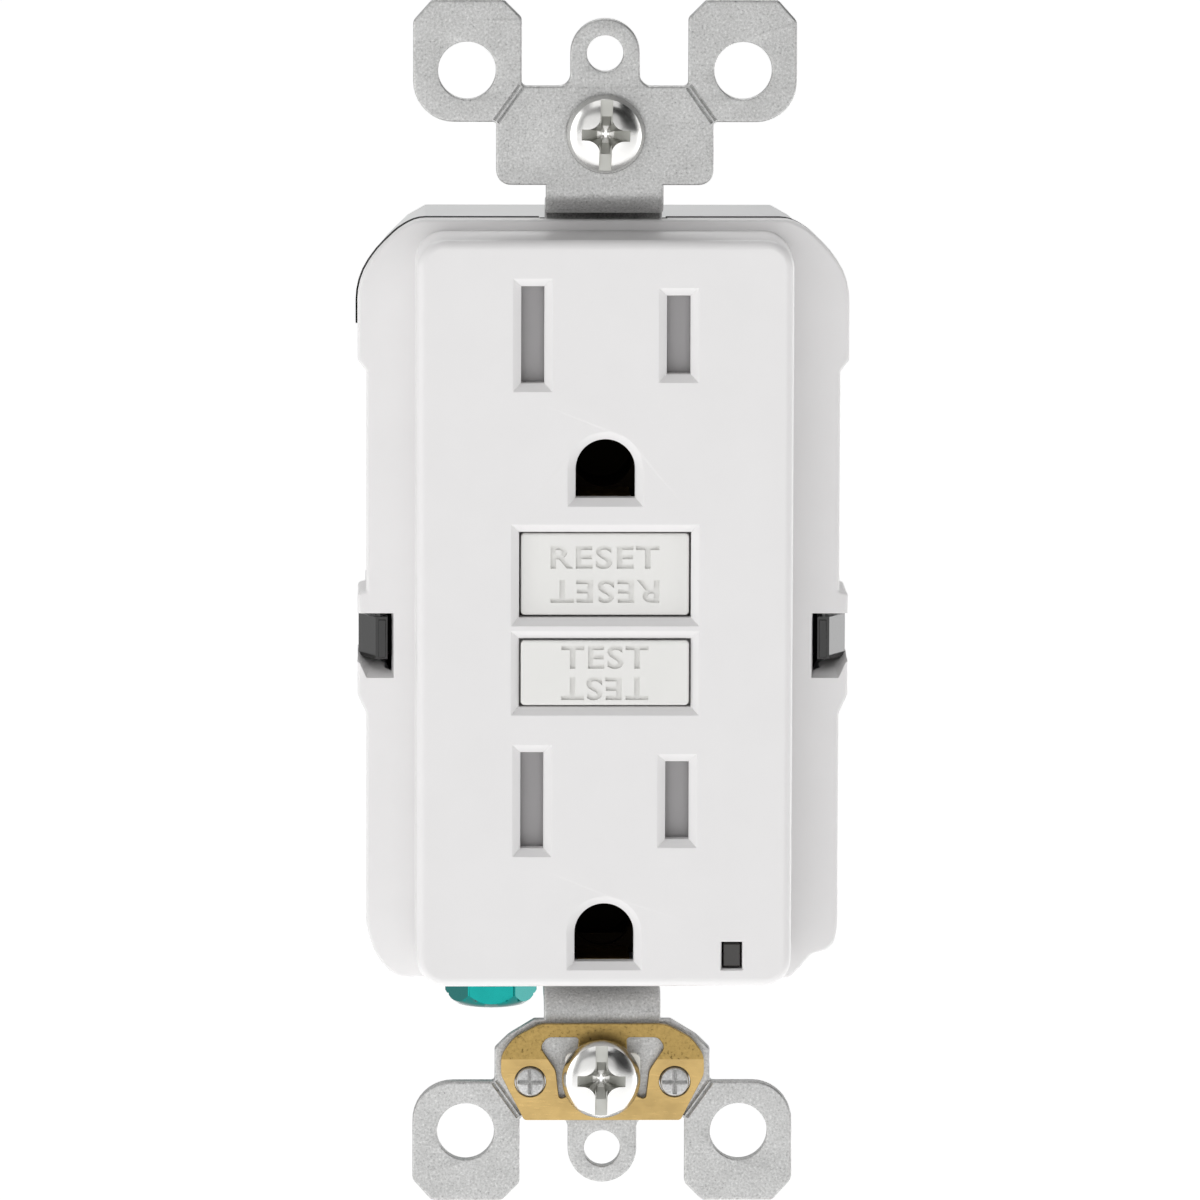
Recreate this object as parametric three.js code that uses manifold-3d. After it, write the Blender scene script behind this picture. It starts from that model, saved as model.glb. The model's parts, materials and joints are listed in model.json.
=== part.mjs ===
// A duplex ground-fault receptacle on its metal mounting strap, with the mechanism inside it.
// Millimetres. +X is to the right of someone facing the receptacle, -Y points at them, +Z is up.
// The origin is midway between the two mounting screws, on the rear plane of the strap's ears.
// It is modelled reset: contacts closed, both buttons at rest, every screw driven home.

import * as THREE from "three";
import { mergeVertices } from "three/addons/utils/BufferGeometryUtils.js";
import Module from "manifold-3d";

const library = await Module();
library.setup();

// ---------------------------------------------------------------- driving dimensions

const GAP = 0.3; // room left between pieces that rest on each other
const THROUGH = 1; // how far a cutter runs past the face it cuts

// Strap: ears in one plane, the part inside the body in a deeper one.
const STRAP_THICKNESS = 1.3;
const EAR_BACK = 0;
const EAR_FRONT = EAR_BACK - STRAP_THICKNESS;
const DEEP_FRONT = 4.0;
const DEEP_BACK = DEEP_FRONT + STRAP_THICKNESS;
const STRAP_END = 53.1;
const PLATE_SCREW_Z = 96.84 / 2;
const MOUNTING_SCREW_Z = 83.34 / 2;
const NECK_HALF_WIDTH = 5.15;

// Body: cover, middle housing and rear housing, front to back.
const FACE_FRONT = -7.0;
const FACE_HALF_WIDTH = 16.4;
const FACE_HALF_HEIGHT = 33.1;
const FACE_WALL = 1.8;
const FACE_INSIDE = FACE_FRONT + FACE_WALL;
const SHOULDER_FRONT = 1.6;
const COVER_BACK = DEEP_FRONT - GAP;
const FLANGE_BACK = 3.3;
const RIM_INSET = 0.65; // the flange overhangs the rim behind it
const RIM_INSIDE = 1.6;
const SKIRT_BACK = 9.6;
const SKIRT_INSIDE = 19.9;
const SKIRT_TOP = 23.5;
const SKIRT_BOTTOM = -28.4;
const MIDDLE_FRONT = DEEP_BACK + GAP;
const MIDDLE_BACK = MIDDLE_FRONT + 2.8;
const MIDDLE_INSET = 0.45;
const REAR_FRONT = MIDDLE_BACK + GAP;
const REAR_BACK = 26.0;
const REAR_WALL = 1.6;
const REAR_INSET = 0.9;
const CAVITY_INSET = REAR_INSET + REAR_WALL;

// Receptacle openings, for plugs with parallel blades.
const BLADE_X = 6.35;
const UPPER_BLADE_Z = 24.3;
const RECEPTACLE_DROP = 40.9; // from the upper receptacle down to the lower one
const BLADE_TO_GROUND = 11.73;
const LOWER_BLADE_Z = UPPER_BLADE_Z - RECEPTACLE_DROP;
const UPPER_GROUND_Z = UPPER_BLADE_Z - BLADE_TO_GROUND;
const LOWER_GROUND_Z = LOWER_BLADE_Z - BLADE_TO_GROUND;
const NEUTRAL_SLOT = { width: 2.0, height: 8.46 };
const HOT_SLOT = { width: 2.05, height: 6.85 };
const GROUND_RADIUS = 2.585;
const GROUND_FLAT_DROP = 2.53;
const GROUND_SLEEVE_RADIUS = 3.05;
const GROUND_SLEEVE_BACK = 11.0;
const RECESS_BEVEL = 0.75;
const SINKING_DEPTH = 0.4;

// Buttons.
const BUTTON_HALF_WIDTH = 7.5;
const RESET = { z: 3.275, height: 7.5, front: -6.1, flangeFront: -3.2 };
const TEST = { z: -5.33, height: 6.0, front: -6.7, flangeFront: -4.9 };
const BUTTON_PLAY = 0.3;
const BUTTON_FLANGE = 1.0;

// Indicator window.
const INDICATOR_X = 11.2;
const INDICATOR_Z = -30.3;
const INDICATOR_WIDTH = 1.8;
const INDICATOR_HEIGHT = 2.37;

// Latches of the middle housing, in the cover's side notches.
const LATCH = { top: -1.6, bottom: -6.6 };

// Side terminals and assembly screws.
const TERMINAL_Z = 13.5;
const TERMINAL_Y = 14.6;
const ASSEMBLY_SCREW_X = 16.7;
const ASSEMBLY_SCREW_Z = 27.6;

// Ground terminal, under the lower left corner of the body.
const GROUND_SCREW_X = -9.7;
const GROUND_SCREW_Y = 9.4;
const GROUND_RECESS = { left: -14.3, right: -5.1, top: -26.8, back: 14.4 };

// Mechanism.
const RESET_PIN_RADIUS = 1.2;
const SOLENOID_Y = 15.6;
const TRANSFORMER_Z = -18.5;
const BOARD_FRONT = 21.0;

// ---------------------------------------------------------------- materials

const metal = (color, roughness) =>
  new THREE.MeshStandardMaterial({ color, roughness, metalness: 1 });
const plastic = (color, roughness) =>
  new THREE.MeshStandardMaterial({ color, roughness, metalness: 0 });

const look = {
  cover: () => plastic(0xf1f0ee, 0.42),
  housing: () => plastic(0xd9dadb, 0.5),
  black: () => plastic(0x141414, 0.3),
  shutter: () => plastic(0x8f9092, 0.55),
  natural: () => plastic(0xe9e6dc, 0.5),
  steel: () => metal(0xb4b4b2, 0.5),
  bright: () => metal(0xd8d8d6, 0.18),
  brass: () => metal(0xc49a45, 0.35),
  copper: () => metal(0xb5651f, 0.4),
  green: () => metal(0x159a8c, 0.3),
  board: () => plastic(0x1e5b2f, 0.5),
  lens: () => plastic(0x2b2622, 0.12),
};

// ---------------------------------------------------------------- solids

function solidOf(geometry) {
  const bare = geometry.index ? geometry.toNonIndexed() : geometry.clone();
  bare.deleteAttribute("normal");
  bare.deleteAttribute("uv");
  const merged = mergeVertices(bare, 1e-4);
  const corners = merged.index.array;
  const kept = [];
  for (let i = 0; i < corners.length; i += 3) {
    const [a, b, c] = [corners[i], corners[i + 1], corners[i + 2]];
    if (a !== b && b !== c && c !== a) kept.push([a, b, c]);
  }
  const build = (triangles) =>
    new library.Manifold(
      new library.Mesh({
        numProp: 3,
        vertProperties: new Float32Array(merged.attributes.position.array),
        triVerts: new Uint32Array(triangles.flat()),
      }),
    );
  const solid = build(kept);
  return solid.volume() > 0 ? solid : build(kept.map(([a, b, c]) => [a, c, b]));
}

function part(name, solid, material) {
  const mesh = solid.getMesh();
  const geometry = new THREE.BufferGeometry();
  geometry.setAttribute("position", new THREE.BufferAttribute(mesh.vertProperties, 3));
  geometry.setIndex(new THREE.BufferAttribute(mesh.triVerts, 1));
  geometry.computeVertexNormals();
  const made = new THREE.Mesh(geometry, material);
  made.name = name;
  return made;
}

const joined = (...solids) => solids.reduce((whole, piece) => whole.add(piece));
const cut = (solid, ...cutters) => cutters.reduce((whole, tool) => whole.subtract(tool), solid);

function box(x0, x1, y0, y1, z0, z1) {
  const block = new THREE.BoxGeometry(x1 - x0, y1 - y0, z1 - z0);
  return solidOf(block.translate((x0 + x1) / 2, (y0 + y1) / 2, (z0 + z1) / 2));
}

// A flat shape, drawn in X and Z, with a front and a back along Y.
function slab(shape, front, back, rounding = 0, curveSegments = 3) {
  const geometry = new THREE.ExtrudeGeometry(shape, {
    depth: back - front - 2 * rounding,
    bevelEnabled: rounding > 0,
    bevelThickness: rounding,
    bevelSize: rounding,
    bevelOffset: -rounding,
    bevelSegments: 2,
    curveSegments,
  });
  return solidOf(geometry.rotateX(Math.PI / 2).translate(0, back - rounding, 0));
}

// A flat shape, drawn in Y and Z, with a left and a right side along X.
function crossSection(shape, left, right) {
  const geometry = new THREE.ExtrudeGeometry(shape, {
    depth: right - left,
    bevelEnabled: false,
    curveSegments: 2,
  });
  const yzx = new THREE.Matrix4().makeBasis(
    new THREE.Vector3(0, 1, 0),
    new THREE.Vector3(0, 0, 1),
    new THREE.Vector3(1, 0, 0),
  );
  return solidOf(geometry.applyMatrix4(yzx).translate(left, 0, 0));
}

// A round piece on the Y axis, from [radius, y] points that start and end on the axis.
function turned(profile, segments = 16) {
  const points = profile.map(([radius, y]) => new THREE.Vector2(radius, y));
  return solidOf(new THREE.LatheGeometry(points, segments));
}

// A ring on the Y axis, with a square section.
function ring(inner, outer, front, back, segments = 20) {
  return turned(
    [[inner, front], [outer, front], [outer, back], [inner, back], [inner, front]],
    segments,
  );
}

function rod(radius, front, back, x = 0, z = 0, segments = 14) {
  const cylinder = new THREE.CylinderGeometry(radius, radius, back - front, segments);
  return solidOf(cylinder.translate(x, (front + back) / 2, z));
}

function rodAlongX(radius, left, right, y, z, segments = 14) {
  const cylinder = new THREE.CylinderGeometry(radius, radius, right - left, segments);
  return solidOf(cylinder.rotateZ(-Math.PI / 2).translate((left + right) / 2, y, z));
}

// A coil spring on the Y axis, from y = 0 to y = length.
function spring(radius, wire, length, turns) {
  class Helix extends THREE.Curve {
    getPoint(t, target = new THREE.Vector3()) {
      const angle = 2 * Math.PI * turns * t;
      const y = wire + (length - 2 * wire) * t;
      return target.set(radius * Math.cos(angle), y, radius * Math.sin(angle));
    }
  }
  const section = new THREE.Shape();
  section.absarc(0, 0, wire, 0, 2 * Math.PI, false);
  const coil = new THREE.ExtrudeGeometry(section, {
    steps: 8 * turns,
    extrudePath: new Helix(),
    curveSegments: 2,
  });
  return solidOf(coil);
}

// ---------------------------------------------------------------- outlines

function polygon(points) {
  return new THREE.Shape(points.map(([x, z]) => new THREE.Vector2(x, z)));
}

function rectangle(x0, x1, z0, z1) {
  return polygon([[x0, z0], [x1, z0], [x1, z1], [x0, z1]]);
}

function roundedRectangle(halfWidth, halfHeight, radius) {
  const [x, z] = [halfWidth - radius, halfHeight - radius];
  const shape = new THREE.Shape();
  shape.absarc(x, z, radius, 0, Math.PI / 2, false);
  shape.absarc(-x, z, radius, Math.PI / 2, Math.PI, false);
  shape.absarc(-x, -z, radius, Math.PI, 1.5 * Math.PI, false);
  shape.absarc(x, -z, radius, 1.5 * Math.PI, 2 * Math.PI, false);
  return shape;
}

function hole(x, z, radius) {
  const path = new THREE.Path();
  path.absarc(x, z, radius, 0, 2 * Math.PI, true);
  return path;
}

// The body seen from the front: shoulders at the top, a waist with a latch boss on each side,
// and a notched lower right corner.
const FLANGE_TOP = 33.65;
const SHOULDER_HALF_WIDTH = 21.8;
const WAIST_HALF_WIDTH = 21.03;
const UPPER_SIDE = [
  [16.4, FLANGE_TOP],
  [18.0, 32.75],
  [19.85, 30.95],
  [21.2, 29.1],
  [21.75, 27.3],
  [SHOULDER_HALF_WIDTH, 21.2],
  [WAIST_HALF_WIDTH, 20.2],
  [WAIST_HALF_WIDTH, 1.3],
  [SHOULDER_HALF_WIDTH, 0.5],
  [SHOULDER_HALF_WIDTH, -8.5],
  [WAIST_HALF_WIDTH, -10.1],
  [WAIST_HALF_WIDTH, -29.0],
];
const LOWER_RIGHT = [
  [20.6, -30.5],
  [19.9, -31.2],
  [18.5, -31.6],
  [17.6, -32.7],
  [16.6, -33.7],
];
const LOWER_LEFT = [
  [20.1, -31.5],
  [18.9, -33.0],
  [17.9, -33.5],
];

function bodyOutline(inset) {
  const inwards = ([x, z]) => [x - inset, z - inset * Math.sign(z)];
  const right = [...UPPER_SIDE, ...LOWER_RIGHT].map(inwards);
  const left = [...UPPER_SIDE, ...LOWER_LEFT].map(inwards).map(([x, z]) => [-x, z]);
  return polygon([...right, ...left.reverse()]);
}

function groundOpening(grow = 0) {
  const shape = new THREE.Shape();
  const radius = GROUND_RADIUS + grow;
  shape.absarc(0, 0, radius, 0, Math.PI, false);
  shape.lineTo(-radius, -GROUND_FLAT_DROP - grow);
  shape.lineTo(radius, -GROUND_FLAT_DROP - grow);
  return shape;
}

// ---------------------------------------------------------------- front cover

// A step around an opening stands for the slope that leads into it.
function bevelledOpening(shapeGrownBy) {
  const front = FACE_FRONT - THROUGH;
  const opening = slab(shapeGrownBy(0), front, FACE_INSIDE + THROUGH, 0, 6);
  const sinking = slab(shapeGrownBy(RECESS_BEVEL / 2), front, FACE_FRONT + SINKING_DEPTH, 0, 6);
  return joined(opening, sinking);
}

const slotShape = ({ width, height }) => (grow) =>
  rectangle(-width / 2 - grow, width / 2 + grow, -height / 2 - grow, height / 2 + grow);

function receptacleOpenings(bladeZ) {
  return joined(
    bevelledOpening(slotShape(NEUTRAL_SLOT)).translate([-BLADE_X, 0, bladeZ]),
    bevelledOpening(slotShape(HOT_SLOT)).translate([BLADE_X, 0, bladeZ]),
    bevelledOpening(groundOpening).translate([0, 0, bladeZ - BLADE_TO_GROUND]),
  );
}

function buttonOpening({ z, height }) {
  const size = { width: 2 * BUTTON_HALF_WIDTH, height };
  return bevelledOpening(slotShape(size)).translate([0, 0, z]);
}

function frontCover() {
  const faceShape = roundedRectangle(FACE_HALF_WIDTH, FACE_HALF_HEIGHT, 2.5);
  const face = slab(faceShape, FACE_FRONT, COVER_BACK, 0.8);
  const flange = slab(bodyOutline(0), SHOULDER_FRONT, FLANGE_BACK);
  const base = slab(bodyOutline(RIM_INSET), SHOULDER_FRONT, COVER_BACK);
  const skirts = slab(bodyOutline(0), SHOULDER_FRONT, SKIRT_BACK).intersect(
    joined(
      box(SKIRT_INSIDE, 30, 0, 20, SKIRT_BOTTOM, SKIRT_TOP),
      box(-30, -SKIRT_INSIDE, 0, 20, SKIRT_BOTTOM, SKIRT_TOP),
    ),
  );
  const rimBack = MIDDLE_FRONT - GAP;
  const rim = cut(
    slab(bodyOutline(RIM_INSET), SHOULDER_FRONT, rimBack),
    slab(bodyOutline(RIM_INSIDE), COVER_BACK - 0.2, rimBack + THROUGH),
  );
  const hollow = slab(roundedRectangle(15.0, 31.7, 1.2), FACE_INSIDE, COVER_BACK + THROUGH);
  const indicator = slotShape({ width: INDICATOR_WIDTH, height: INDICATOR_HEIGHT });
  const cutters = [
    receptacleOpenings(UPPER_BLADE_Z),
    receptacleOpenings(LOWER_BLADE_Z),
    buttonOpening(RESET),
    buttonOpening(TEST),
    bevelledOpening(indicator).translate([INDICATOR_X, 0, INDICATOR_Z]),
  ];
  const neckRelief = NECK_HALF_WIDTH + 0.45;
  for (const side of [-1, 1]) {
    const notch = side > 0 ? [18.5, 30] : [-30, -18.5];
    cutters.push(box(...notch, 0, SKIRT_BACK + THROUGH, LATCH.bottom - GAP, LATCH.top + GAP));
    const edge = side > 0 ? [31.8, 40] : [-40, -31.8];
    cutters.push(box(-neckRelief, neckRelief, 2.5, rimBack + THROUGH, ...edge));
  }
  const { left, right } = GROUND_RECESS;
  cutters.push(box(left, right, COVER_BACK, rimBack + THROUGH, -40, GROUND_RECESS.top));
  let cover = cut(joined(face, flange, base, skirts, rim), hollow);
  for (const [x, z] of assemblyScrewPlaces()) {
    cover = cover.add(rod(2.6, SHOULDER_FRONT + 0.4, MIDDLE_BACK, x, z));
    cutters.push(rod(1.45, 2.9, MIDDLE_BACK + THROUGH, x, z, 14));
  }
  return part("front_cover", cut(cover, ...cutters), look.cover());
}

function assemblyScrewPlaces() {
  const places = [];
  for (const z of [ASSEMBLY_SCREW_Z, -ASSEMBLY_SCREW_Z])
    for (const x of [-ASSEMBLY_SCREW_X, ASSEMBLY_SCREW_X]) places.push([x, z]);
  return places;
}

// ---------------------------------------------------------------- middle housing

const CLIP = { inner: 4.95, outer: 7.75, leaf: 0.6, back: 9.6 };
const FIXED_CONTACT = { left: 9.4, right: 13.2, z: 8.6, radius: 1.3 };
const TERMINAL_PLATE = { left: 17.2, right: 18.2, halfHeight: 3.6, back: 18.6 };

function mirroredPair(make) {
  return joined(make(1), make(-1));
}

// A box on one side of the body: x runs outwards from the middle.
function sideBox(side, x0, x1, y0, y1, z0, z1) {
  return side > 0 ? box(x0, x1, y0, y1, z0, z1) : box(-x1, -x0, y0, y1, z0, z1);
}

function lightPipeWay(front, back) {
  const [halfWidth, halfHeight] = [INDICATOR_WIDTH / 2 + 0.2, INDICATOR_HEIGHT / 2 + 0.2];
  const [x, z] = [INDICATOR_X, INDICATOR_Z];
  return box(x - halfWidth, x + halfWidth, front, back, z - halfHeight, z + halfHeight);
}

function middleHousing() {
  const front = MIDDLE_FRONT - THROUGH;
  const back = MIDDLE_BACK + THROUGH;
  const plate = slab(bodyOutline(MIDDLE_INSET), MIDDLE_FRONT, MIDDLE_BACK);
  const besideSkirts = mirroredPair((side) =>
    sideBox(side, SKIRT_INSIDE - GAP, 30, front, back, SKIRT_BOTTOM - GAP, SKIRT_TOP + GAP),
  );
  const tower = box(-6.8, 6.8, 1.2, MIDDLE_FRONT + 0.5, -8.2, 7.8);
  // A tab on each side shows above the cover's skirt.
  const tabs = mirroredPair((side) =>
    sideBox(side, SKIRT_INSIDE, 21.75, MIDDLE_FRONT, MIDDLE_BACK, SKIRT_TOP + 2 * GAP, 28.0),
  );
  // A latch on each side reaches forward through the cover's notch and slopes back outwards.
  const latchProfile = (side) =>
    polygon([
      [side * 18.9, -2.6],
      [side * 20.1, -2.6],
      [side * 21.6, -5.2],
      [side * 21.6, -MIDDLE_BACK],
      [side * 18.9, -MIDDLE_BACK],
    ]);
  const latches = mirroredPair((side) => {
    const extrusion = { depth: LATCH.top - LATCH.bottom, bevelEnabled: false };
    const geometry = new THREE.ExtrudeGeometry(latchProfile(side), extrusion);
    // The profile is drawn with -Y upwards, so turning it over puts it in the XY plane.
    return solidOf(geometry.rotateX(Math.PI).translate(0, 0, LATCH.top));
  });
  const cutters = [
    rod(RESET_PIN_RADIUS + 0.35, 0, back, 0, RESET.z),
    lightPipeWay(front, back),
    box(GROUND_RECESS.left, GROUND_RECESS.right, front, back, -40, GROUND_RECESS.top),
  ];
  for (const bladeZ of [UPPER_BLADE_Z, LOWER_BLADE_Z]) {
    cutters.push(
      mirroredPair((side) =>
        sideBox(side, CLIP.inner - 0.4, CLIP.outer + 0.4, front, back, bladeZ - 4.9, bladeZ + 5.4),
      ),
    );
    cutters.push(rod(3.45, front, back, 0, bladeZ - BLADE_TO_GROUND, 20));
  }
  cutters.push(
    mirroredPair((side) =>
      sideBox(side, FIXED_CONTACT.left - 0.4, FIXED_CONTACT.right + 0.4, front, back, 6.9, 12.4),
    ),
    mirroredPair((side) =>
      sideBox(side, TERMINAL_PLATE.left - 0.4, TERMINAL_PLATE.right + 0.4, front, back, 9.5, 17.5),
    ),
  );
  for (const [x, z] of assemblyScrewPlaces()) cutters.push(rod(2.95, front, back, x, z));
  const housing = joined(cut(joined(plate, tower), besideSkirts), latches, tabs);
  return part("middle_housing", cut(housing, ...cutters), look.black());
}

// ---------------------------------------------------------------- rear housing

const TERMINAL_RECESS = { inside: 16.9, back: 20.0, halfHeight: 4.7 };
const TERMINAL_BLOCK = { inside: 13.8, halfHeight: 6.2 };
const WIRE_HOLE = { x: 18.4, radius: 1.15, offset: 2.4 };

function rearHousing() {
  const shell = joined(
    slab(bodyOutline(REAR_INSET), SKIRT_BACK + GAP, REAR_BACK),
    cut(
      slab(bodyOutline(REAR_INSET), REAR_FRONT, SKIRT_BACK + 2 * GAP),
      mirroredPair((side) =>
        sideBox(side, SKIRT_INSIDE - GAP, 30, 8, 12, SKIRT_BOTTOM - GAP, SKIRT_TOP + GAP),
      ),
    ),
  );
  const kept = [];
  const cutters = [
    mirroredPair((side) => sideBox(side, 11.5, 30, 8, 30, 32.75, 40)),
    lightPipeWay(8, BOARD_FRONT),
    rod(GROUND_SLEEVE_RADIUS + 0.35, 8, GROUND_SLEEVE_BACK + 0.5, 0, LOWER_GROUND_Z, 20),
    box(GROUND_RECESS.left, GROUND_RECESS.right, 8, GROUND_RECESS.back, -40, GROUND_RECESS.top),
  ];
  for (const z of [TERMINAL_Z, -TERMINAL_Z]) {
    const [low, high] = [z - TERMINAL_RECESS.halfHeight, z + TERMINAL_RECESS.halfHeight];
    for (const side of [1, -1]) {
      const { inside, halfHeight } = TERMINAL_BLOCK;
      kept.push(sideBox(side, inside, 30, 8, 30, z - halfHeight, z + halfHeight));
      cutters.push(sideBox(side, TERMINAL_RECESS.inside, 30, 8, TERMINAL_RECESS.back, low, high));
      const bore = side > 0 ? [12, 18] : [-18, -12];
      cutters.push(rodAlongX(2.4, ...bore, TERMINAL_Y, z));
      for (const dz of [-WIRE_HOLE.offset, WIRE_HOLE.offset])
        cutters.push(rod(WIRE_HOLE.radius, 19, 27, side * WIRE_HOLE.x, z + dz, 14));
      if (z < 0) cutters.push(sideBox(side, 13, 17.5, 17.2, 18.8, z - 2.4, z + 2.4));
    }
  }
  const { left, right, top, back } = GROUND_RECESS;
  kept.push(box(left - 1.4, right + 1.4, 8, back + 1.4, -40, top + 1.4));
  for (const [x, z] of assemblyScrewPlaces()) {
    kept.push(rod(3.1, 8, REAR_BACK, x, z));
    cutters.push(rod(1.45, 8, REAR_BACK + THROUGH, x, z, 12));
    cutters.push(rod(2.65, 23.6, REAR_BACK + THROUGH, x, z));
  }
  const room = slab(bodyOutline(CAVITY_INSET), 8, REAR_BACK - REAR_WALL);
  const hollow = cut(room, ...kept);
  return part("rear_housing", cut(shell, hollow, ...cutters), look.housing());
}

// ---------------------------------------------------------------- strap

const EAR_HOLE = { x: 12.05, z: 46.92, radius: 2.515 };

// One end of the strap: two round-shouldered ears either side of a small centre tab.
function earOutline() {
  const tab = 3.04;
  const [earInside, earOutside] = [7.26, 16.75];
  const [tabRoot, earRoot] = [45.57, 42.42];
  const [plateEdge, plateHalfWidth] = [36.9, 9.5];
  const [chamfer, shoulder] = [1.6, 3.4];
  const shape = new THREE.Shape();
  shape.moveTo(NECK_HALF_WIDTH, plateEdge);
  shape.lineTo(plateHalfWidth, plateEdge);
  shape.lineTo(plateHalfWidth, earRoot);
  shape.absarc(earOutside - shoulder, earRoot + shoulder, shoulder, -Math.PI / 2, 0, false);
  shape.lineTo(earOutside, STRAP_END - 1.25 * chamfer);
  shape.lineTo(earOutside - chamfer, STRAP_END);
  shape.lineTo(earInside + chamfer, STRAP_END);
  shape.lineTo(earInside, STRAP_END - chamfer);
  shape.lineTo(earInside, tabRoot);
  shape.lineTo(tab, tabRoot);
  shape.absarc(0, PLATE_SCREW_Z, tab, 0, Math.PI, false);
  shape.lineTo(-tab, tabRoot);
  shape.lineTo(-earInside, tabRoot);
  shape.lineTo(-earInside, STRAP_END - chamfer);
  shape.lineTo(-earInside - chamfer, STRAP_END);
  shape.lineTo(-earOutside + chamfer, STRAP_END);
  shape.lineTo(-earOutside, STRAP_END - 1.25 * chamfer);
  shape.absarc(-earOutside + shoulder, earRoot + shoulder, shoulder, Math.PI, 1.5 * Math.PI, false);
  shape.lineTo(-plateHalfWidth, earRoot);
  shape.lineTo(-plateHalfWidth, plateEdge);
  shape.lineTo(-NECK_HALF_WIDTH, plateEdge);
  shape.holes.push(
    hole(0, PLATE_SCREW_Z, 1.59),
    hole(EAR_HOLE.x, EAR_HOLE.z, EAR_HOLE.radius),
    hole(-EAR_HOLE.x, EAR_HOLE.z, EAR_HOLE.radius),
  );
  const slot = new THREE.Path();
  const [reach, radius] = [1.2, 2.1];
  slot.absarc(reach, MOUNTING_SCREW_Z, radius, Math.PI / 2, -Math.PI / 2, true);
  slot.absarc(-reach, MOUNTING_SCREW_Z, radius, -Math.PI / 2, -1.5 * Math.PI, true);
  shape.holes.push(slot);
  return shape;
}

// The bend that takes the strap from the ears' plane back to the deeper one, in Y and Z.
function neckProfile() {
  const [outer, inner] = [2.2, 2.2 - STRAP_THICKNESS];
  const [shelfTop, shelfBottom] = [35.6, 35.6 - STRAP_THICKNESS];
  const [plateEdge, bodyEdge] = [37.0, 30.0];
  const firstBend = { y: EAR_FRONT + outer, z: shelfBottom + outer };
  const secondBend = { y: DEEP_BACK - outer, z: shelfTop - outer };
  const shape = new THREE.Shape();
  shape.moveTo(EAR_FRONT, plateEdge);
  shape.absarc(firstBend.y, firstBend.z, outer, Math.PI, 1.5 * Math.PI, false);
  shape.absarc(secondBend.y, secondBend.z, inner, Math.PI / 2, 0, true);
  shape.lineTo(DEEP_FRONT, bodyEdge);
  shape.lineTo(DEEP_BACK, bodyEdge);
  shape.absarc(secondBend.y, secondBend.z, outer, 0, Math.PI / 2, false);
  shape.absarc(firstBend.y, firstBend.z, inner, 1.5 * Math.PI, Math.PI, true);
  shape.lineTo(EAR_BACK, plateEdge);
  return shape;
}

function mountingStrap() {
  const end = joined(
    slab(earOutline(), EAR_FRONT, EAR_BACK, 0, 5),
    crossSection(neckProfile(), -NECK_HALF_WIDTH, NECK_HALF_WIDTH),
  );
  const rivets = [-1, 1].map((side) => rod(1.6, -3, 1, side * CLIP_RIVET.x, -CLIP_RIVET.z, 16));
  // The lower end has no corners beside its neck, where the clip arches over it.
  const corners = [-1, 1].map((side) => {
    const outline = [[5.6, -36], [10, -36], [10, -39.6], [9.5, -39.6]];
    return slab(polygon(outline.map(([x, z]) => [side * x, z])), EAR_FRONT - THROUGH, THROUGH);
  });
  const lowerEnd = cut(end.mirror([0, 0, 1]), ...rivets, ...corners);
  const deep = (halfWidth, z0, z1) =>
    box(-halfWidth, halfWidth, DEEP_FRONT, DEEP_BACK, z0, z1);
  const spine = joined(
    deep(NECK_HALF_WIDTH, 29.8, 31),
    deep(3.6, 17, 30),
    deep(5.5, 9, 18),
    deep(10.3, -10.2, 9.8),
    deep(3.6, -23.5, -10),
    deep(5.5, -31.5, -23),
    deep(NECK_HALF_WIDTH, -32, -31),
    box(-13.6, -5.0, DEEP_FRONT, DEEP_BACK, -33.0, -30.6),
    box(-13.6, -5.5, DEEP_FRONT, 13.4, -31.9, -30.6),
  );
  const openings = [
    box(-8.0, 8.0, DEEP_FRONT - 1, DEEP_BACK + 1, -8.8, 8.4),
    rod(3.4, DEEP_FRONT - 1, DEEP_BACK + 1, 0, UPPER_GROUND_Z, 20),
    rod(3.4, DEEP_FRONT - 1, DEEP_BACK + 1, 0, LOWER_GROUND_Z, 20),
    groundScrewBore(-33, -30),
  ];
  const strap = cut(joined(end, lowerEnd, spine), ...openings);
  return part("mounting_strap", strap, look.steel());
}

function groundScrewBore(bottom, top) {
  const bore = new THREE.CylinderGeometry(2.25, 2.25, top - bottom, 20);
  bore.rotateX(Math.PI / 2);
  return solidOf(bore.translate(GROUND_SCREW_X, GROUND_SCREW_Y, (bottom + top) / 2));
}

// ---------------------------------------------------------------- self-grounding clip

const CLIP_RIVET = { x: 6.37, z: 42.3 };
const CLIP_PLATE = { front: -2.2, back: -1.6, bend: 40.3, top: 37.0, bottom: 45.75, tilt: 0.5 };

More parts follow.
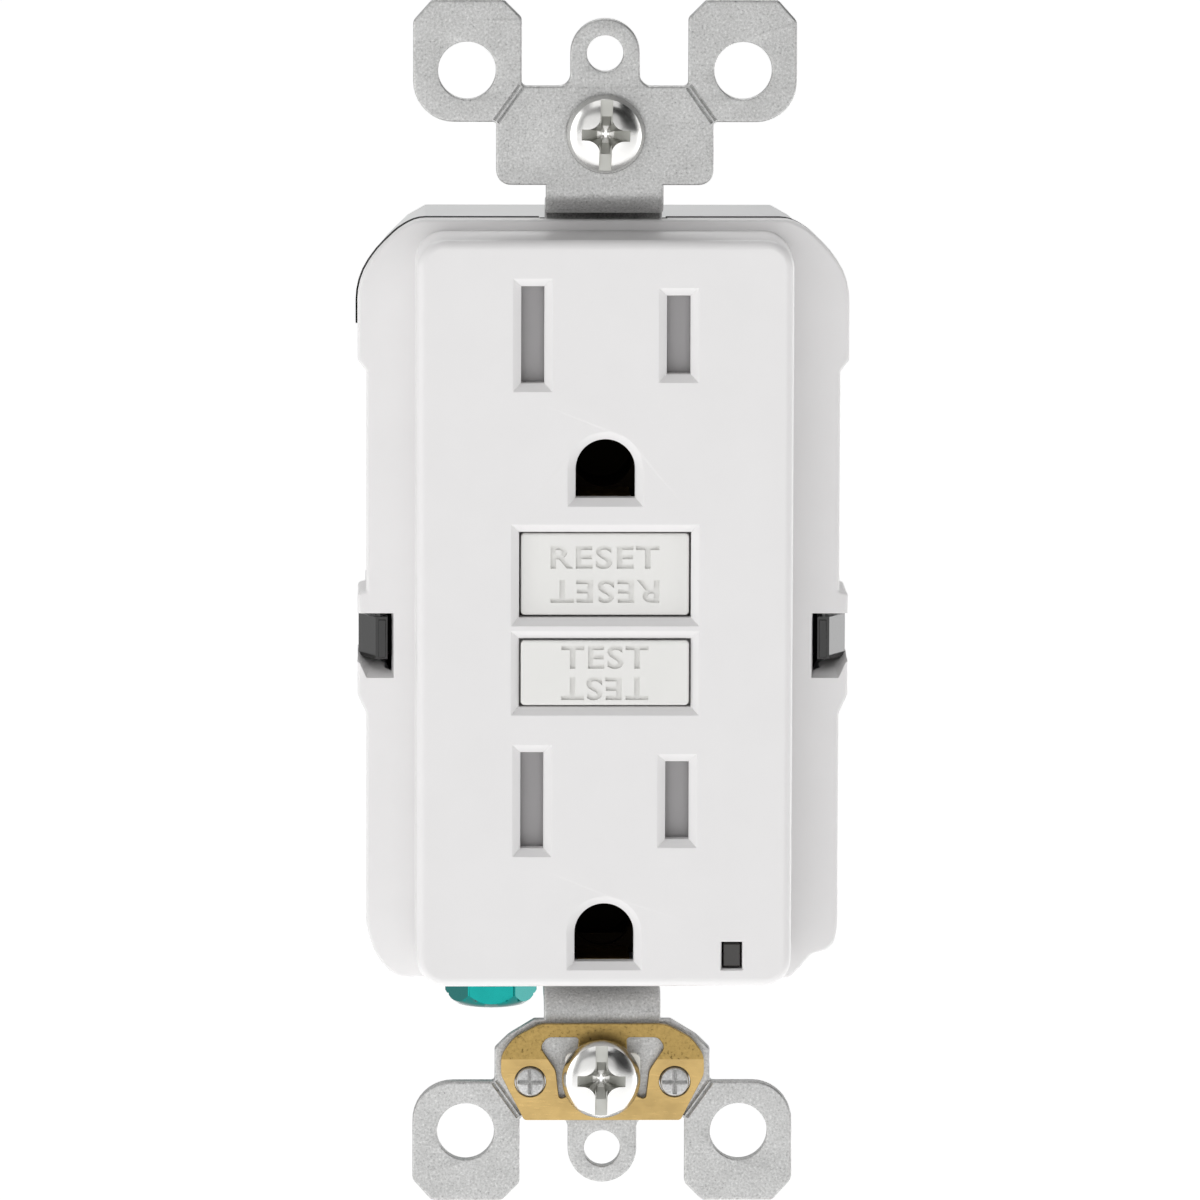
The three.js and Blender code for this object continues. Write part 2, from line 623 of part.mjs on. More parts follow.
function selfGroundClip() {
  const { front, back, bend, top, bottom, tilt } = CLIP_PLATE;
  const profile = polygon([
    [front, -bottom],
    [back, -bottom],
    [back, -bend],
    [back - tilt, -top],
    [front - tilt, -top],
    [front, -bend],
  ]);
  const sheet = crossSection(profile, -9, 9);
  const outline = polygon([
    [-6.9, -bottom],
    [6.9, -bottom],
    [8.95, -41.7],
    [8.95, -39.9],
    [7.8, -38.3],
    [5.5, -top],
    [-5.5, -top],
    [-7.8, -38.3],
    [-8.95, -39.9],
    [-8.95, -41.7],
  ]);
  const wing = (side) =>
    polygon([
      [side * 2.1, -38.3],
      [side * 4.6, -38.3],
      [side * 5.4, -39.3],
      [side * 4.1, -41.3],
      [side * 3.8, -43.7],
      [side * 3.1, -43.6],
      [side * 2.3, -41.4],
    ]);
  const holes = [-1, 1].flatMap((side) => [
    slab(wing(side), -5, 0),
    rod(1.6, -5, 0, side * CLIP_RIVET.x, -CLIP_RIVET.z, 16),
  ]);
  holes.push(rod(2.05, -5, 0, 0, -MOUNTING_SCREW_Z));
  return part("self_ground_clip", cut(sheet.intersect(slab(outline, -5, 0)), ...holes), look.brass());
}

function clipRivet(name, side) {
  const rivet = part(name, rod(1.3, -2.45, 0.35, 0, 0, 16), look.bright());
  rivet.position.set(side * CLIP_RIVET.x, 0, -CLIP_RIVET.z);
  return rivet;
}

// ---------------------------------------------------------------- screws

// Low domed head with a full slot, on a plain shank. The head faces -Y and its seat is y = 0.
function machineScrew({ head, rise, shank, length, slot, segments = 14 }) {
  const tip = 0.6;
  const blank = turned(
    [
      [0, -rise],
      [0.55 * head, -0.92 * rise],
      [0.88 * head, -0.55 * rise],
      [head, -0.2 * rise],
      [head, 0],
      [shank, 0],
      [shank, length - tip],
      [shank - tip, length],
      [0, length],
    ],
    segments,
  );
  const groove = box(-slot / 2, slot / 2, -rise - THROUGH, -0.4 * rise, -head - 1, head + 1);
  return cut(blank, groove);
}

function mountingScrew(name, z, seat) {
  const size = { head: 3.5, rise: 1.75, shank: 1.7, length: 17, slot: 1.15, segments: 18 };
  const screw = part(name, machineScrew(size), look.bright());
  screw.position.set(0, seat, z);
  return screw;
}

function screwRetainer(name, z, front) {
  const [half, corner] = [3.4, 2.8];
  const washer = polygon([
    [half, -corner],
    [half, corner],
    [corner, half],
    [-corner, half],
    [-half, corner],
    [-half, -corner],
    [-corner, -half],
    [corner, -half],
  ]);
  const retainer = part(name, cut(slab(washer, 0, 0.5), rod(2.0, -1, 2)), look.natural());
  retainer.position.set(0, front, z);
  return retainer;
}

function assemblyScrew(name, x, z) {
  const size = { head: 2.3, rise: 1.7, shank: 1.15, length: 20.6, slot: 0.8, segments: 10 };
  const screw = part(name, machineScrew(size), look.steel());
  screw.position.set(x, 23.9, z);
  screw.rotation.x = Math.PI;
  return screw;
}

// ---------------------------------------------------------------- ground terminal

function groundTerminal() {
  const group = new THREE.Group();
  group.position.set(GROUND_SCREW_X, GROUND_SCREW_Y, 0);
  const headTop = -34.5;
  const headBottom = -37.2;
  const hexagon = (radius, bottom, top) => {
    const prism = new THREE.CylinderGeometry(radius, radius, top - bottom, 6);
    return solidOf(prism.rotateX(Math.PI / 2).rotateZ(Math.PI / 6).translate(0, 0, (bottom + top) / 2));
  };
  const upright = (solid) => solid.rotate([90, 0, 0]);
  const crown = upright(
    turned([[0, headBottom], [3.0, headBottom], [4.1, headBottom + 0.9], [4.1, headTop], [0, headTop]], 18),
  );
  const shank = upright(turned([[0, headTop - 0.5], [1.9, headTop - 0.5], [1.9, -27.1], [0, -27.1]]));
  const head = hexagon(4.1, headBottom - 0.1, headTop).intersect(crown);
  const slot = box(-6, 6, -0.6, 0.6, headBottom - 1, headBottom + 1.0);
  const screw = part("ground_screw", cut(joined(head, shank), slot), look.green());
  const plate = box(-3.9, 3.9, -3.2, 3.4, -33.9, -32.9);
  const bore = upright(turned([[0, -40], [2.2, -40], [2.2, -30], [0, -30]]));
  const clamp = part("ground_clamp_plate", cut(plate, bore), look.steel());
  group.add(screw, clamp);
  return group;
}

// ---------------------------------------------------------------- side terminals

// A terminal is drawn with its screw along +X, then turned round for the left side.
function wireTerminal(name, side, z, material) {
  const group = new THREE.Group();
  group.position.set(0, TERMINAL_Y, z);
  group.rotation.z = side > 0 ? 0 : Math.PI;
  const plate = cut(box(18.5, 19.4, -3.7, 3.7, -3.6, 3.6), rodAlongX(2.25, 18, 20, 0, 0));
  const size = { head: 3.9, rise: 1.1, shank: 1.95, length: 6.3, slot: 1.1 };
  const screw = part(name + "_terminal_screw", machineScrew(size), material());
  screw.position.x = 19.7;
  screw.rotation.z = Math.PI / 2;
  group.add(screw, part(name + "_clamp_plate", plate, look.steel()));
  return group;
}

// ---------------------------------------------------------------- contacts

// One bar serves both receptacles on its side, and ends in the load terminal plate.
function contactStrip(name, side, material) {
  const { inner, outer, leaf, back } = CLIP;
  const [front, barBack] = [0.4, 3.4];
  const pieces = [
    box(outer - leaf, outer, front, barBack, LOWER_BLADE_Z - 4.2, UPPER_BLADE_Z + 4.8),
  ];
  for (const bladeZ of [UPPER_BLADE_Z, LOWER_BLADE_Z]) {
    pieces.push(
      box(outer - leaf, outer, front, back, bladeZ - 4.2, bladeZ + 4.2),
      box(inner, inner + leaf, front, back, bladeZ - 4.2, bladeZ + 4.2),
      box(inner, outer, front, barBack, bladeZ + 4.2, bladeZ + 4.8),
      box(inner, inner + leaf, front, barBack, bladeZ + 4.0, bladeZ + 4.8),
    );
  }
  const { left, right, z, radius } = FIXED_CONTACT;
  const armTop = TERMINAL_Z + 2.5;
  const armBottom = TERMINAL_Z - 2.5;
  pieces.push(
    box(outer - leaf, outer, front, 5.2, armBottom, armTop),
    box(outer - leaf, TERMINAL_PLATE.right, 4.2, 5.2, armBottom, armTop),
    box(left, right, 4.4, 10.0, 11.2, 12.0),
    box(left, right, 9.4, 10.0, 7.2, 12.0),
    rod(radius, 9.8, 10.6, (left + right) / 2, z, 16),
    box(
      TERMINAL_PLATE.left,
      TERMINAL_PLATE.right,
      4.2,
      TERMINAL_PLATE.back,
      TERMINAL_Z - TERMINAL_PLATE.halfHeight,
      TERMINAL_Z + TERMINAL_PLATE.halfHeight,
    ),
  );
  const strip = cut(joined(...pieces), rodAlongX(2.25, 16, 20, TERMINAL_Y, TERMINAL_Z));
  return part(name, side > 0 ? strip : strip.mirror([1, 0, 0]), material());
}

function lineTerminal(name, side, material) {
  const { left, right, halfHeight, back } = TERMINAL_PLATE;
  const z = -TERMINAL_Z;
  const plate = joined(
    box(left, right, 10, back, z - halfHeight, z + halfHeight),
    box(11.8, right, 17.6, 18.4, z - 2, z + 2),
    box(11.8, 12.6, 12.4, 18.4, z - 2, -1.3),
  );
  const bored = cut(plate, rodAlongX(2.25, 16, 20, TERMINAL_Y, z));
  return part(name, side > 0 ? bored : bored.mirror([1, 0, 0]), material());
}

function contactArm(name, side) {
  const { left, right, z, radius } = FIXED_CONTACT;
  const arm = joined(
    box(left, right, 11.6, 12.2, -0.9, 9.9),
    rod(radius, 10.95, 11.8, (left + right) / 2, z, 16),
  );
  return part(name, side > 0 ? arm : arm.mirror([1, 0, 0]), look.brass());
}

function groundContact(name, z) {
  const plate = box(-4.6, 4.6, 2.9, 3.7, -3.0, 4.0);
  const sleeve = ring(2.6, GROUND_SLEEVE_RADIUS, 3.3, GROUND_SLEEVE_BACK);
  // A leaf reaches forward, and shows at the bottom of the round opening.
  const leaf = box(-2.2, 2.2, -4.2, 3.0, -2.95, -2.65);
  const contact = joined(cut(plate, rod(2.6, 2, 5, 0, 0, 20)), sleeve, leaf);
  const made = part(name, contact, look.brass());
  made.position.z = z;
  return made;
}

// ---------------------------------------------------------------- shutters

// A shutter blocks both slots until two blades push it sideways together.
function receptacleInside(name, bladeZ, groundName) {
  const group = new THREE.Group();
  group.position.z = bladeZ;
  const throwX = 2.6;
  const aperture = 1.45;
  const window = (x, y0, y1) => box(x - aperture, x + aperture, y0, y1, -4.6, 4.6);
  const plate = box(-11.4, 9.6, -4.9, -2.5, -5.1, 5.1);
  const windows = [-BLADE_X - throwX, BLADE_X - throwX].map((x) => window(x, -6, -1));
  const shutter = part(name + "_shutter", cut(plate, ...windows), look.shutter());
  const guidePlate = box(-14.0, 14.4, -2.2, -0.9, -5.7, 5.7);
  const guideWindows = [-BLADE_X, BLADE_X].map((x) => window(x, -3, 0));
  const guide = part(name + "_shutter_guide", cut(guidePlate, ...guideWindows), look.natural());
  const coil = part(name + "_shutter_spring", spring(0.85, 0.18, 4.4, 5), look.bright());
  coil.rotation.z = -Math.PI / 2;
  coil.position.set(9.9, -3.7, 0);
  group.add(shutter, guide, coil, groundContact(groundName, -BLADE_TO_GROUND));
  return group;
}

// ---------------------------------------------------------------- buttons

function button(name, { z, height, front, flangeFront }, extra) {
  const halfWidth = BUTTON_HALF_WIDTH - BUTTON_PLAY;
  const halfHeight = height / 2 - BUTTON_PLAY;
  const cap = slab(roundedRectangle(halfWidth, halfHeight, 0.25), front, flangeFront + 0.5);
  const lip = halfHeight + 0.8;
  const flange = box(-8.2, 8.2, flangeFront, flangeFront + BUTTON_FLANGE, -lip, lip);
  const made = part(name, cut(joined(cap, flange), ...extra), look.cover());
  made.position.z = z;
  return made;
}

function resetGroup() {
  const group = new THREE.Group();
  const socket = rod(1.5, -4.0, 0, 0, 0);
  const pinProfile = [
    [0, -3.6],
    [RESET_PIN_RADIUS, -3.6],
    [RESET_PIN_RADIUS, 13.7],
    [0.55, 13.7],
    [0.55, 17.9],
    [RESET_PIN_RADIUS, 17.9],
    [0.9, 19.2],
    [0, 19.2],
  ];
  const pin = part("reset_pin", turned(pinProfile, 16), look.steel());
  pin.position.z = RESET.z;
  const coil = part("reset_spring", spring(1.9, 0.25, 2.7, 4), look.bright());
  coil.position.set(0, -1.9, RESET.z);
  group.add(button("reset_button", RESET, [socket]), pin, coil);
  return group;
}

function testGroup() {
  const group = new THREE.Group();
  const coil = part("test_spring", spring(1.6, 0.25, 4.3, 5), look.bright());
  coil.position.set(0, -3.6, TEST.z);
  group.add(button("test_button", TEST, []), coil);
  return group;
}

// ---------------------------------------------------------------- trip mechanism

function latchPlate() {
  const [halfWidth, bottom, top] = [3.0, 0.6, 11.8];
  const blank = box(-halfWidth, halfWidth, 15.2, 16.0, bottom, top);
  const slot = new THREE.Shape();
  const [low, high, radius] = [RESET.z + 0.7, RESET.z + 1.2, 1.6];
  slot.absarc(0, high, radius, 0, Math.PI, false);
  slot.absarc(0, low, radius, Math.PI, 2 * Math.PI, false);
  return part("latch_plate", cut(blank, slab(slot, 14, 17)), look.steel());
}

function contactCarriage() {
  const beam = joined(
    box(-13.4, 13.4, 12.6, 15.0, 1.0, 6.8),
    box(-5.4, 5.4, 12.6, 18.4, -1.8, 7.6),
  );
  const pinHole = rod(RESET_PIN_RADIUS + 0.35, 12, 20, 0, RESET.z);
  const latchWay = box(-3.35, 3.35, 14.85, 16.35, -1.0, 9);
  return part("contact_carriage", cut(beam, pinHole, latchWay), look.natural());
}

// The solenoid is drawn along +Y and stood upright by its group.
function solenoid() {
  const group = new THREE.Group();
  group.position.y = SOLENOID_Y;
  group.rotation.x = Math.PI / 2;
  const spool = cut(
    joined(rod(2.4, 16.2, 26.8), rod(4.4, 16.2, 17.0), rod(4.4, 26.0, 26.8)),
    rod(1.95, 16, 27),
  );
  const plungerProfile = [
    [0, 12.15],
    [1.0, 12.15],
    [1.0, 16.0],
    [1.6, 16.6],
    [1.6, 29.9],
    [2.4, 29.9],
    [2.4, 30.8],
    [0, 30.8],
  ];
  const coil = part("plunger_spring", spring(2.05, 0.16, 2.5, 3), look.bright());
  coil.position.y = 27.1;
  group.add(
    part("solenoid_bobbin", spool, look.natural()),
    part("solenoid_coil", ring(2.7, 4.1, 17.3, 25.7), look.copper()),
    part("solenoid_plunger", turned(plungerProfile, 16), look.steel()),
    coil,
  );
  return group;
}

function transformers() {
  const group = new THREE.Group();
  group.position.z = TRANSFORMER_Z;
  const mandrel = cut(joined(rod(2.7, 11.4, 20.7), rod(7.2, 20.0, 20.7, 0, 0, 20)), rod(2.0, 11, 21));
  group.add(
    part("transformer_case", mandrel, look.black()),
    part("ground_fault_transformer", ring(3.0, 7.0, 11.6, 15.4), look.copper()),
    part("neutral_transformer", ring(3.0, 7.0, 15.8, 19.6), look.copper()),
  );
  return group;
}

function electronics() {
  const group = new THREE.Group();
  const board = box(-13.2, 13.2, BOARD_FRONT, BOARD_FRONT + 1.6, -30.7, 30.4);
  const top = BOARD_FRONT - GAP;
  const varistor = part("surge_varistor", rodAlongX(3.3, -12.2, -10.0, 17.2, 24), plastic(0x2b62a8, 0.5));
  const capacitor = part("storage_capacitor", rod(2.7, 13.4, top, 10, 24), plastic(0x23262b, 0.4));
  const chip = part("control_chip", box(1.8, 8.2, 19.2, top, -8.2, -3.6), plastic(0x1b1b1c, 0.5));
  const resistor = part("test_resistor", rodAlongX(1.0, -9, -3, 19.6, -6, 14), plastic(0xc9b48a, 0.6));
  const led = part("indicator_led", rod(0.95, 19.4, top, INDICATOR_X, INDICATOR_Z, 14), look.lens());
  const pipeHalfWidth = INDICATOR_WIDTH / 2 - 0.15;
  const pipeHalfHeight = INDICATOR_HEIGHT / 2 - 0.15;
  const pipe = box(
    INDICATOR_X - pipeHalfWidth,
    INDICATOR_X + pipeHalfWidth,
    FACE_FRONT + 0.5,
    19.0,
    INDICATOR_Z - pipeHalfHeight,
    INDICATOR_Z + pipeHalfHeight,
  );
  group.add(
    part("circuit_board", board, look.board()),
    part("indicator_light_pipe", pipe, look.lens()),
    varistor,
    capacitor,
    chip,
    resistor,
    led,
  );
  return group;
}

// ---------------------------------------------------------------- assembly

const outlet = new THREE.Group();

outlet.add(frontCover(), middleHousing(), rearHousing(), mountingStrap(), selfGroundClip());
outlet.add(clipRivet("clip_rivet_left", -1), clipRivet("clip_rivet_right", 1));

assemblyScrewPlaces().forEach(([x, z], i) => {
  outlet.add(assemblyScrew("assembly_screw_" + (i + 1), x, z));
});

outlet.add(
  mountingScrew("upper_mounting_screw", MOUNTING_SCREW_Z, EAR_FRONT - GAP),
  mountingScrew("lower_mounting_screw", -MOUNTING_SCREW_Z, -3.7),
  screwRetainer("upper_screw_retainer", MOUNTING_SCREW_Z, 4.6),
  screwRetainer("lower_screw_retainer", -MOUNTING_SCREW_Z, -3.4),
);

outlet.add(groundTerminal());
for (const [level, z] of [["load", TERMINAL_Z], ["line", -TERMINAL_Z]]) {
  outlet.add(wireTerminal(level + "_hot", 1, z, look.brass));
  outlet.add(wireTerminal(level + "_neutral", -1, z, look.bright));
}

outlet.add(
  contactStrip("hot_contact_strip", 1, look.brass),
  contactStrip("neutral_contact_strip", -1, look.brass),
  lineTerminal("line_hot_terminal", 1, look.brass),
  lineTerminal("line_neutral_terminal", -1, look.brass),
  contactArm("hot_contact_arm", 1),
  contactArm("neutral_contact_arm", -1),
  receptacleInside("upper", UPPER_BLADE_Z, "upper_ground_contact"),
  receptacleInside("lower", LOWER_BLADE_Z, "lower_ground_contact"),
);

outlet.add(resetGroup(), testGroup(), latchPlate(), contactCarriage());
outlet.add(solenoid(), transformers(), electronics());

export default outlet;
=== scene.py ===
"""The looks of a duplex ground-fault receptacle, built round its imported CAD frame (Blender 4.5).

Shapes are drawn in millimetres in the frame's own axes: +X right, -Y towards the user, +Z up.
They become metres when a piece is added to the scene.
"""

import json
import math

import bmesh
import bpy
from mathutils import Matrix, Vector
from mathutils.geometry import tessellate_polygon


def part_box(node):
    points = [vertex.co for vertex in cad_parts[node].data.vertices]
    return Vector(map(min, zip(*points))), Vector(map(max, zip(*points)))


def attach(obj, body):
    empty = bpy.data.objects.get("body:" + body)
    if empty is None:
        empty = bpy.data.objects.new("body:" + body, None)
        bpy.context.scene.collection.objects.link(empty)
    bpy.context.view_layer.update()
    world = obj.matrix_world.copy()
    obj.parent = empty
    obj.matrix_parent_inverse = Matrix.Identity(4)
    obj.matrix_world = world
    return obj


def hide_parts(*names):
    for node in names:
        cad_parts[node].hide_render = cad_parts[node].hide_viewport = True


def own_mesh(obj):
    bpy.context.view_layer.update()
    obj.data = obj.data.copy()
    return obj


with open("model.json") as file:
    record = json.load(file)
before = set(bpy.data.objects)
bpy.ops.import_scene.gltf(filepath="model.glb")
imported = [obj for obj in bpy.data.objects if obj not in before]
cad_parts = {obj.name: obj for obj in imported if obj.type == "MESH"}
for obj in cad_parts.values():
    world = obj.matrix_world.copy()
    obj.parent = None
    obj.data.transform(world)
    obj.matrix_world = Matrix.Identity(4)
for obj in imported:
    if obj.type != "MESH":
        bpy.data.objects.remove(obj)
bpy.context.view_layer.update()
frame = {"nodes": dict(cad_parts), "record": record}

MM = 0.001
THROUGH = 1.0  # how far a cutter runs past the face it cuts
FINE = 0.03  # offset that keeps two faces from lying in one plane


def span(node):
    """Lowest and highest corner of a CAD node, in millimetres."""
    low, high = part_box(node)
    return low / MM, high / MM


def middle(node):
    low, high = span(node)
    return (low + high) / 2


# ---------------------------------------------------------------- outlines in X and Z


def arc(x, z, radius, start, stop, steps=16):
    """Points on an arc, with its angles in degrees, counted from +X towards +Z."""
    angles = [math.radians(start + (stop - start) * k / steps) for k in range(steps + 1)]
    return [Vector((x + radius * math.cos(a), z + radius * math.sin(a))) for a in angles]


def rectangle(half_x, half_z, x=0.0, z=0.0):
    corners = [(half_x, -half_z), (half_x, half_z), (-half_x, half_z), (-half_x, -half_z)]
    return [Vector((x + dx, z + dz)) for dx, dz in corners]


def filleted(corners):
    """A closed outline from (x, z, radius) corners, each rounded by an arc that fits its sides."""
    loop = []
    count = len(corners)
    for i, (x, z, radius) in enumerate(corners):
        here = Vector((x, z))
        to_before = Vector(corners[i - 1][:2]) - here
        to_after = Vector(corners[(i + 1) % count][:2]) - here
        room = 0.49 * min(to_before.length, to_after.length)
        half = to_before.angle(to_after) / 2
        straight = abs(half - math.pi / 2) < 1e-3
        if straight or radius < 1e-3:
            loop.append(here)
            continue
        reach = min(radius / math.tan(half), room)
        to_before.normalize()
        to_after.normalize()
        centre = here + (to_before + to_after).normalized() * reach / math.cos(half)
        start = here + to_before * reach - centre
        stop = here + to_after * reach - centre
        turn = math.atan2(start.x * stop.y - start.y * stop.x, start.dot(stop))
        steps = max(2, round(abs(turn) / math.radians(9)))
        for k in range(steps + 1):
            angle = turn * k / steps
            c, s = math.cos(angle), math.sin(angle)
            loop.append(centre + Vector((c * start.x - s * start.y, s * start.x + c * start.y)))
    return loop


def rounded_rectangle(half_x, half_z, radius, x=0.0, z=0.0):
    return filleted([(p.x, p.y, radius) for p in rectangle(half_x, half_z, x, z)])


def circle(x, z, radius, steps=48):
    return arc(x, z, radius, 0, 360, steps)[:-1]


def reflected(corners):
    """The same corners on the other side of X = 0, in the order that closes the outline."""
    return [(-x, z, radius) for x, z, radius in corners[::-1]]


def moved(loop, x=0.0, z=0.0):
    return [p + Vector((x, z)) for p in loop]


def offset(loop, distance):
    """The outline moved outwards, its corners kept as mitres. It runs anticlockwise."""
    grown = []
    for before, here, after in zip(loop[-1:] + loop[:-1], loop, loop[1:] + loop[:1]):
        into, out = (here - before).normalized(), (after - here).normalized()
        side_in, side_out = Vector((into.y, -into.x)), Vector((out.y, -out.x))
        miter = (side_in + side_out) / max(0.2, 1 + side_in.dot(side_out))
        grown.append(here + distance * miter)
    return grown


# ---------------------------------------------------------------- solids


class Skin:
    """A closed surface made of walls that follow outlines, and flat caps between them."""

    def __init__(self):
        self.build = bmesh.new()

    def loft(self, stations):
        """Walls through (outline, y) stations. Returns the first and last ring of vertices."""
        rings = [[self.build.verts.new((p.x, y, p.y)) for p in loop] for loop, y in stations]
        for near, far in zip(rings, rings[1:]):
            for i in range(len(near)):
                self.build.faces.new((near[i - 1], near[i], far[i], far[i - 1]))
        return rings[0], rings[-1]

    def wall(self, loop, profile):
        """A wall whose section is given as (offset from the outline, y) points."""
        return self.loft([(offset(loop, grow), y) for grow, y in profile])

    def cap(self, *rings):
        """A flat face inside the first ring and outside the others."""
        flat = [[Vector((v.co.x, v.co.z, 0)) for v in ring] for ring in rings]
        corners = [v for ring in rings for v in ring]
        for triangle in tessellate_polygon(flat):
            self.build.faces.new([corners[i] for i in triangle])

    def mesh(self):
        return closed(self.build)


def closed(build):
    bmesh.ops.remove_doubles(build, verts=build.verts, dist=1e-4)
    bmesh.ops.recalc_face_normals(build, faces=build.faces)
    mesh = bpy.data.meshes.new("solid")
    build.to_mesh(mesh)
    build.free()
    return mesh


def rounding(radius, at, towards, steps=4):
    """Section points of a rounded edge: from a cap at y = at, turning into a wall towards +Y or -Y."""
    points = []
    for k in range(steps + 1):
        angle = math.pi / 2 * k / steps
        inset = radius * (1 - math.sin(angle))
        points.append((-inset, at + towards * radius * (1 - math.cos(angle))))
    return points


def plate(outline, front, back, edge=0.12, holes=(), hole_edge=0.08):
    """A flat sheet with softened edges and straight holes through it."""
    skin = Skin()
    section = rounding(edge, front, 1) + rounding(edge, back, -1)[::-1]
    first, last = skin.wall(outline, section)
    fronts, backs = [first], [last]
    for loop in holes:
        flipped = [(-grow, y) for grow, y in rounding(hole_edge, front, 1)]
        flipped += [(-grow, y) for grow, y in rounding(hole_edge, back, -1)][::-1]
        first, last = skin.wall(loop, flipped)
        fronts.append(first)
        backs.append(last)
    skin.cap(*fronts)
    skin.cap(*backs)
    return skin.mesh()


def lofted(stations):
    """A solid through (outline, y) stations, with flat ends."""
    skin = Skin()
    first, last = skin.loft(stations)
    skin.cap(first)
    skin.cap(last)
    return skin.mesh()


def prism(loop, front, back):
    return lofted([(loop, front), (loop, back)])


def turned(profile, segments=48, hollow=False):
    """A round piece on the Y axis from (radius, y) points that start and end on the axis.

    The section of a hollow piece closes on itself instead.
    """
    build = bmesh.new()
    turns = [2 * math.pi * k / segments for k in range(segments)]
    rings = []
    for radius, y in profile:
        rings.append([build.verts.new((radius * math.cos(a), y, radius * math.sin(a))) for a in turns])
    following = rings[1:] + rings[:1] if hollow else rings[1:]
    for near, far in zip(rings, following):
        for i in range(segments):
            build.faces.new((near[i - 1], near[i], far[i], far[i - 1]))
    return closed(build)


def block(x0, x1, y0, y1, z0, z1, edge=0.0):
    build = bmesh.new()
    bmesh.ops.create_cube(build, size=1)
    build.transform(Matrix.Diagonal((x1 - x0, y1 - y0, z1 - z0, 1)))
    build.transform(Matrix.Translation(((x0 + x1) / 2, (y0 + y1) / 2, (z0 + z1) / 2)))
    if edge:
        bmesh.ops.bevel(
            build, geom=build.edges[:], offset=edge, segments=2, profile=0.5, affect="EDGES"
        )
    return closed(build)


def rod(radius, front, back, x=0.0, z=0.0):
    mesh = turned([(0, front), (radius, front), (radius, back), (0, back)], 40)
    return placed(mesh, shift(x, 0, z))


def placed(mesh, matrix):
    mesh.transform(matrix)
    return mesh


def turn(degrees, axis):
    return Matrix.Rotation(math.radians(degrees), 4, axis)


def shift(x=0.0, y=0.0, z=0.0):
    return Matrix.Translation((x, y, z))


MIRROR_X = Matrix.Diagonal((-1, 1, 1, 1))
MIRROR_Z = Matrix.Diagonal((1, 1, -1, 1))


def mirrored(mesh, mirror=MIRROR_X):
    copy = mesh.copy()
    copy.transform(mirror)
    copy.flip_normals()
    return copy


def on_side(side, mesh):
    """A mesh drawn for the right, or its mirror image for the left (side -1)."""
    return mesh if side > 0 else mirrored(mesh)


def combined(base, tools, operation):
    """A boolean of closed meshes in millimetres."""
    collection = bpy.context.scene.collection
    carrier = bpy.data.objects.new("carrier", base)
    collection.objects.link(carrier)
    helpers = []
    for tool in tools:
        helper = bpy.data.objects.new("tool", tool)
        collection.objects.link(helper)
        modifier = carrier.modifiers.new("boolean", "BOOLEAN")
        modifier.object = helper
        modifier.operation = operation
        modifier.solver = "EXACT"
        helpers.append(helper)
    depsgraph = bpy.context.evaluated_depsgraph_get()
    result = bpy.data.meshes.new_from_object(carrier.evaluated_get(depsgraph))
    for helper in [carrier, *helpers]:
        bpy.data.objects.remove(helper)
    return result


def cut(base, *tools):
    return combined(base, tools, "DIFFERENCE")


def joined(base, *tools):
    return combined(base, tools, "UNION")


def lettering(word, half_width, height, front, back):
    """A word as a closed mesh that faces -Y, centred on the Y axis."""
    curve = bpy.data.curves.new("lettering", "FONT")
    curve.body = word
    curve.align_x = "CENTER"
    curve.align_y = "CENTER"
    curve.space_character = 1.12
    curve.resolution_u = 4
    curve.offset = 0.022
    curve.extrude = 0.5
    holder = bpy.data.objects.new("lettering", curve)
    bpy.context.scene.collection.objects.link(holder)
    depsgraph = bpy.context.evaluated_depsgraph_get()
    mesh = bpy.data.meshes.new_from_object(holder.evaluated_get(depsgraph))
    bpy.data.objects.remove(holder)
    xs = [v.co.x for v in mesh.vertices]
    ys = [v.co.y for v in mesh.vertices]
    mesh.transform(shift(-(min(xs) + max(xs)) / 2, -(min(ys) + max(ys)) / 2))
    scale = (2 * half_width / (max(xs) - min(xs)), height / (max(ys) - min(ys)), back - front, 1)
    mesh.transform(Matrix.Diagonal(scale))
    mesh.transform(shift(y=(front + back) / 2) @ turn(90, "X"))
    build = bmesh.new()
    build.from_mesh(mesh)
    return closed(build)


# ---------------------------------------------------------------- materials


def node_material(name, metallic=0.0, specular=0.5):
    material = bpy.data.materials.new(name)
    material.use_nodes = True
    nodes, links = material.node_tree.nodes, material.node_tree.links
    shader = nodes["Principled BSDF"]
    shader.inputs["Metallic"].default_value = metallic
    shader.inputs["Specular IOR Level"].default_value = specular
    coordinates = nodes.new("ShaderNodeTexCoord")
    return material, nodes, links, shader, coordinates.outputs["Object"]


def noise(nodes, links, place, feature, detail=3.0, roughness=0.55, stretch=(1, 1, 1)):
    """A noise whose features are about so many millimetres across, longer where stretch is more."""
    mapping = nodes.new("ShaderNodeMapping")
    mapping.inputs["Scale"].default_value = [1 / s for s in stretch]
    links.new(place, mapping.inputs["Vector"])
    texture = nodes.new("ShaderNodeTexNoise")
    texture.inputs["Scale"].default_value = 1 / (feature * MM)
    texture.inputs["Detail"].default_value = detail
    texture.inputs["Roughness"].default_value = roughness
    links.new(mapping.outputs["Vector"], texture.inputs["Vector"])
    return texture.outputs["Fac"]


def ramp(nodes, links, factor, stops):
    made = nodes.new("ShaderNodeValToRGB")
    elements = made.color_ramp.elements
    while len(elements) < len(stops):
        elements.new(0.5)
    for element, (position, color) in zip(elements, stops):
        element.position = position
        element.color = (*color, 1)
    links.new(factor, made.inputs["Fac"])
    return made.outputs["Color"]


def graded(color, share):
    return tuple(c * share for c in color)


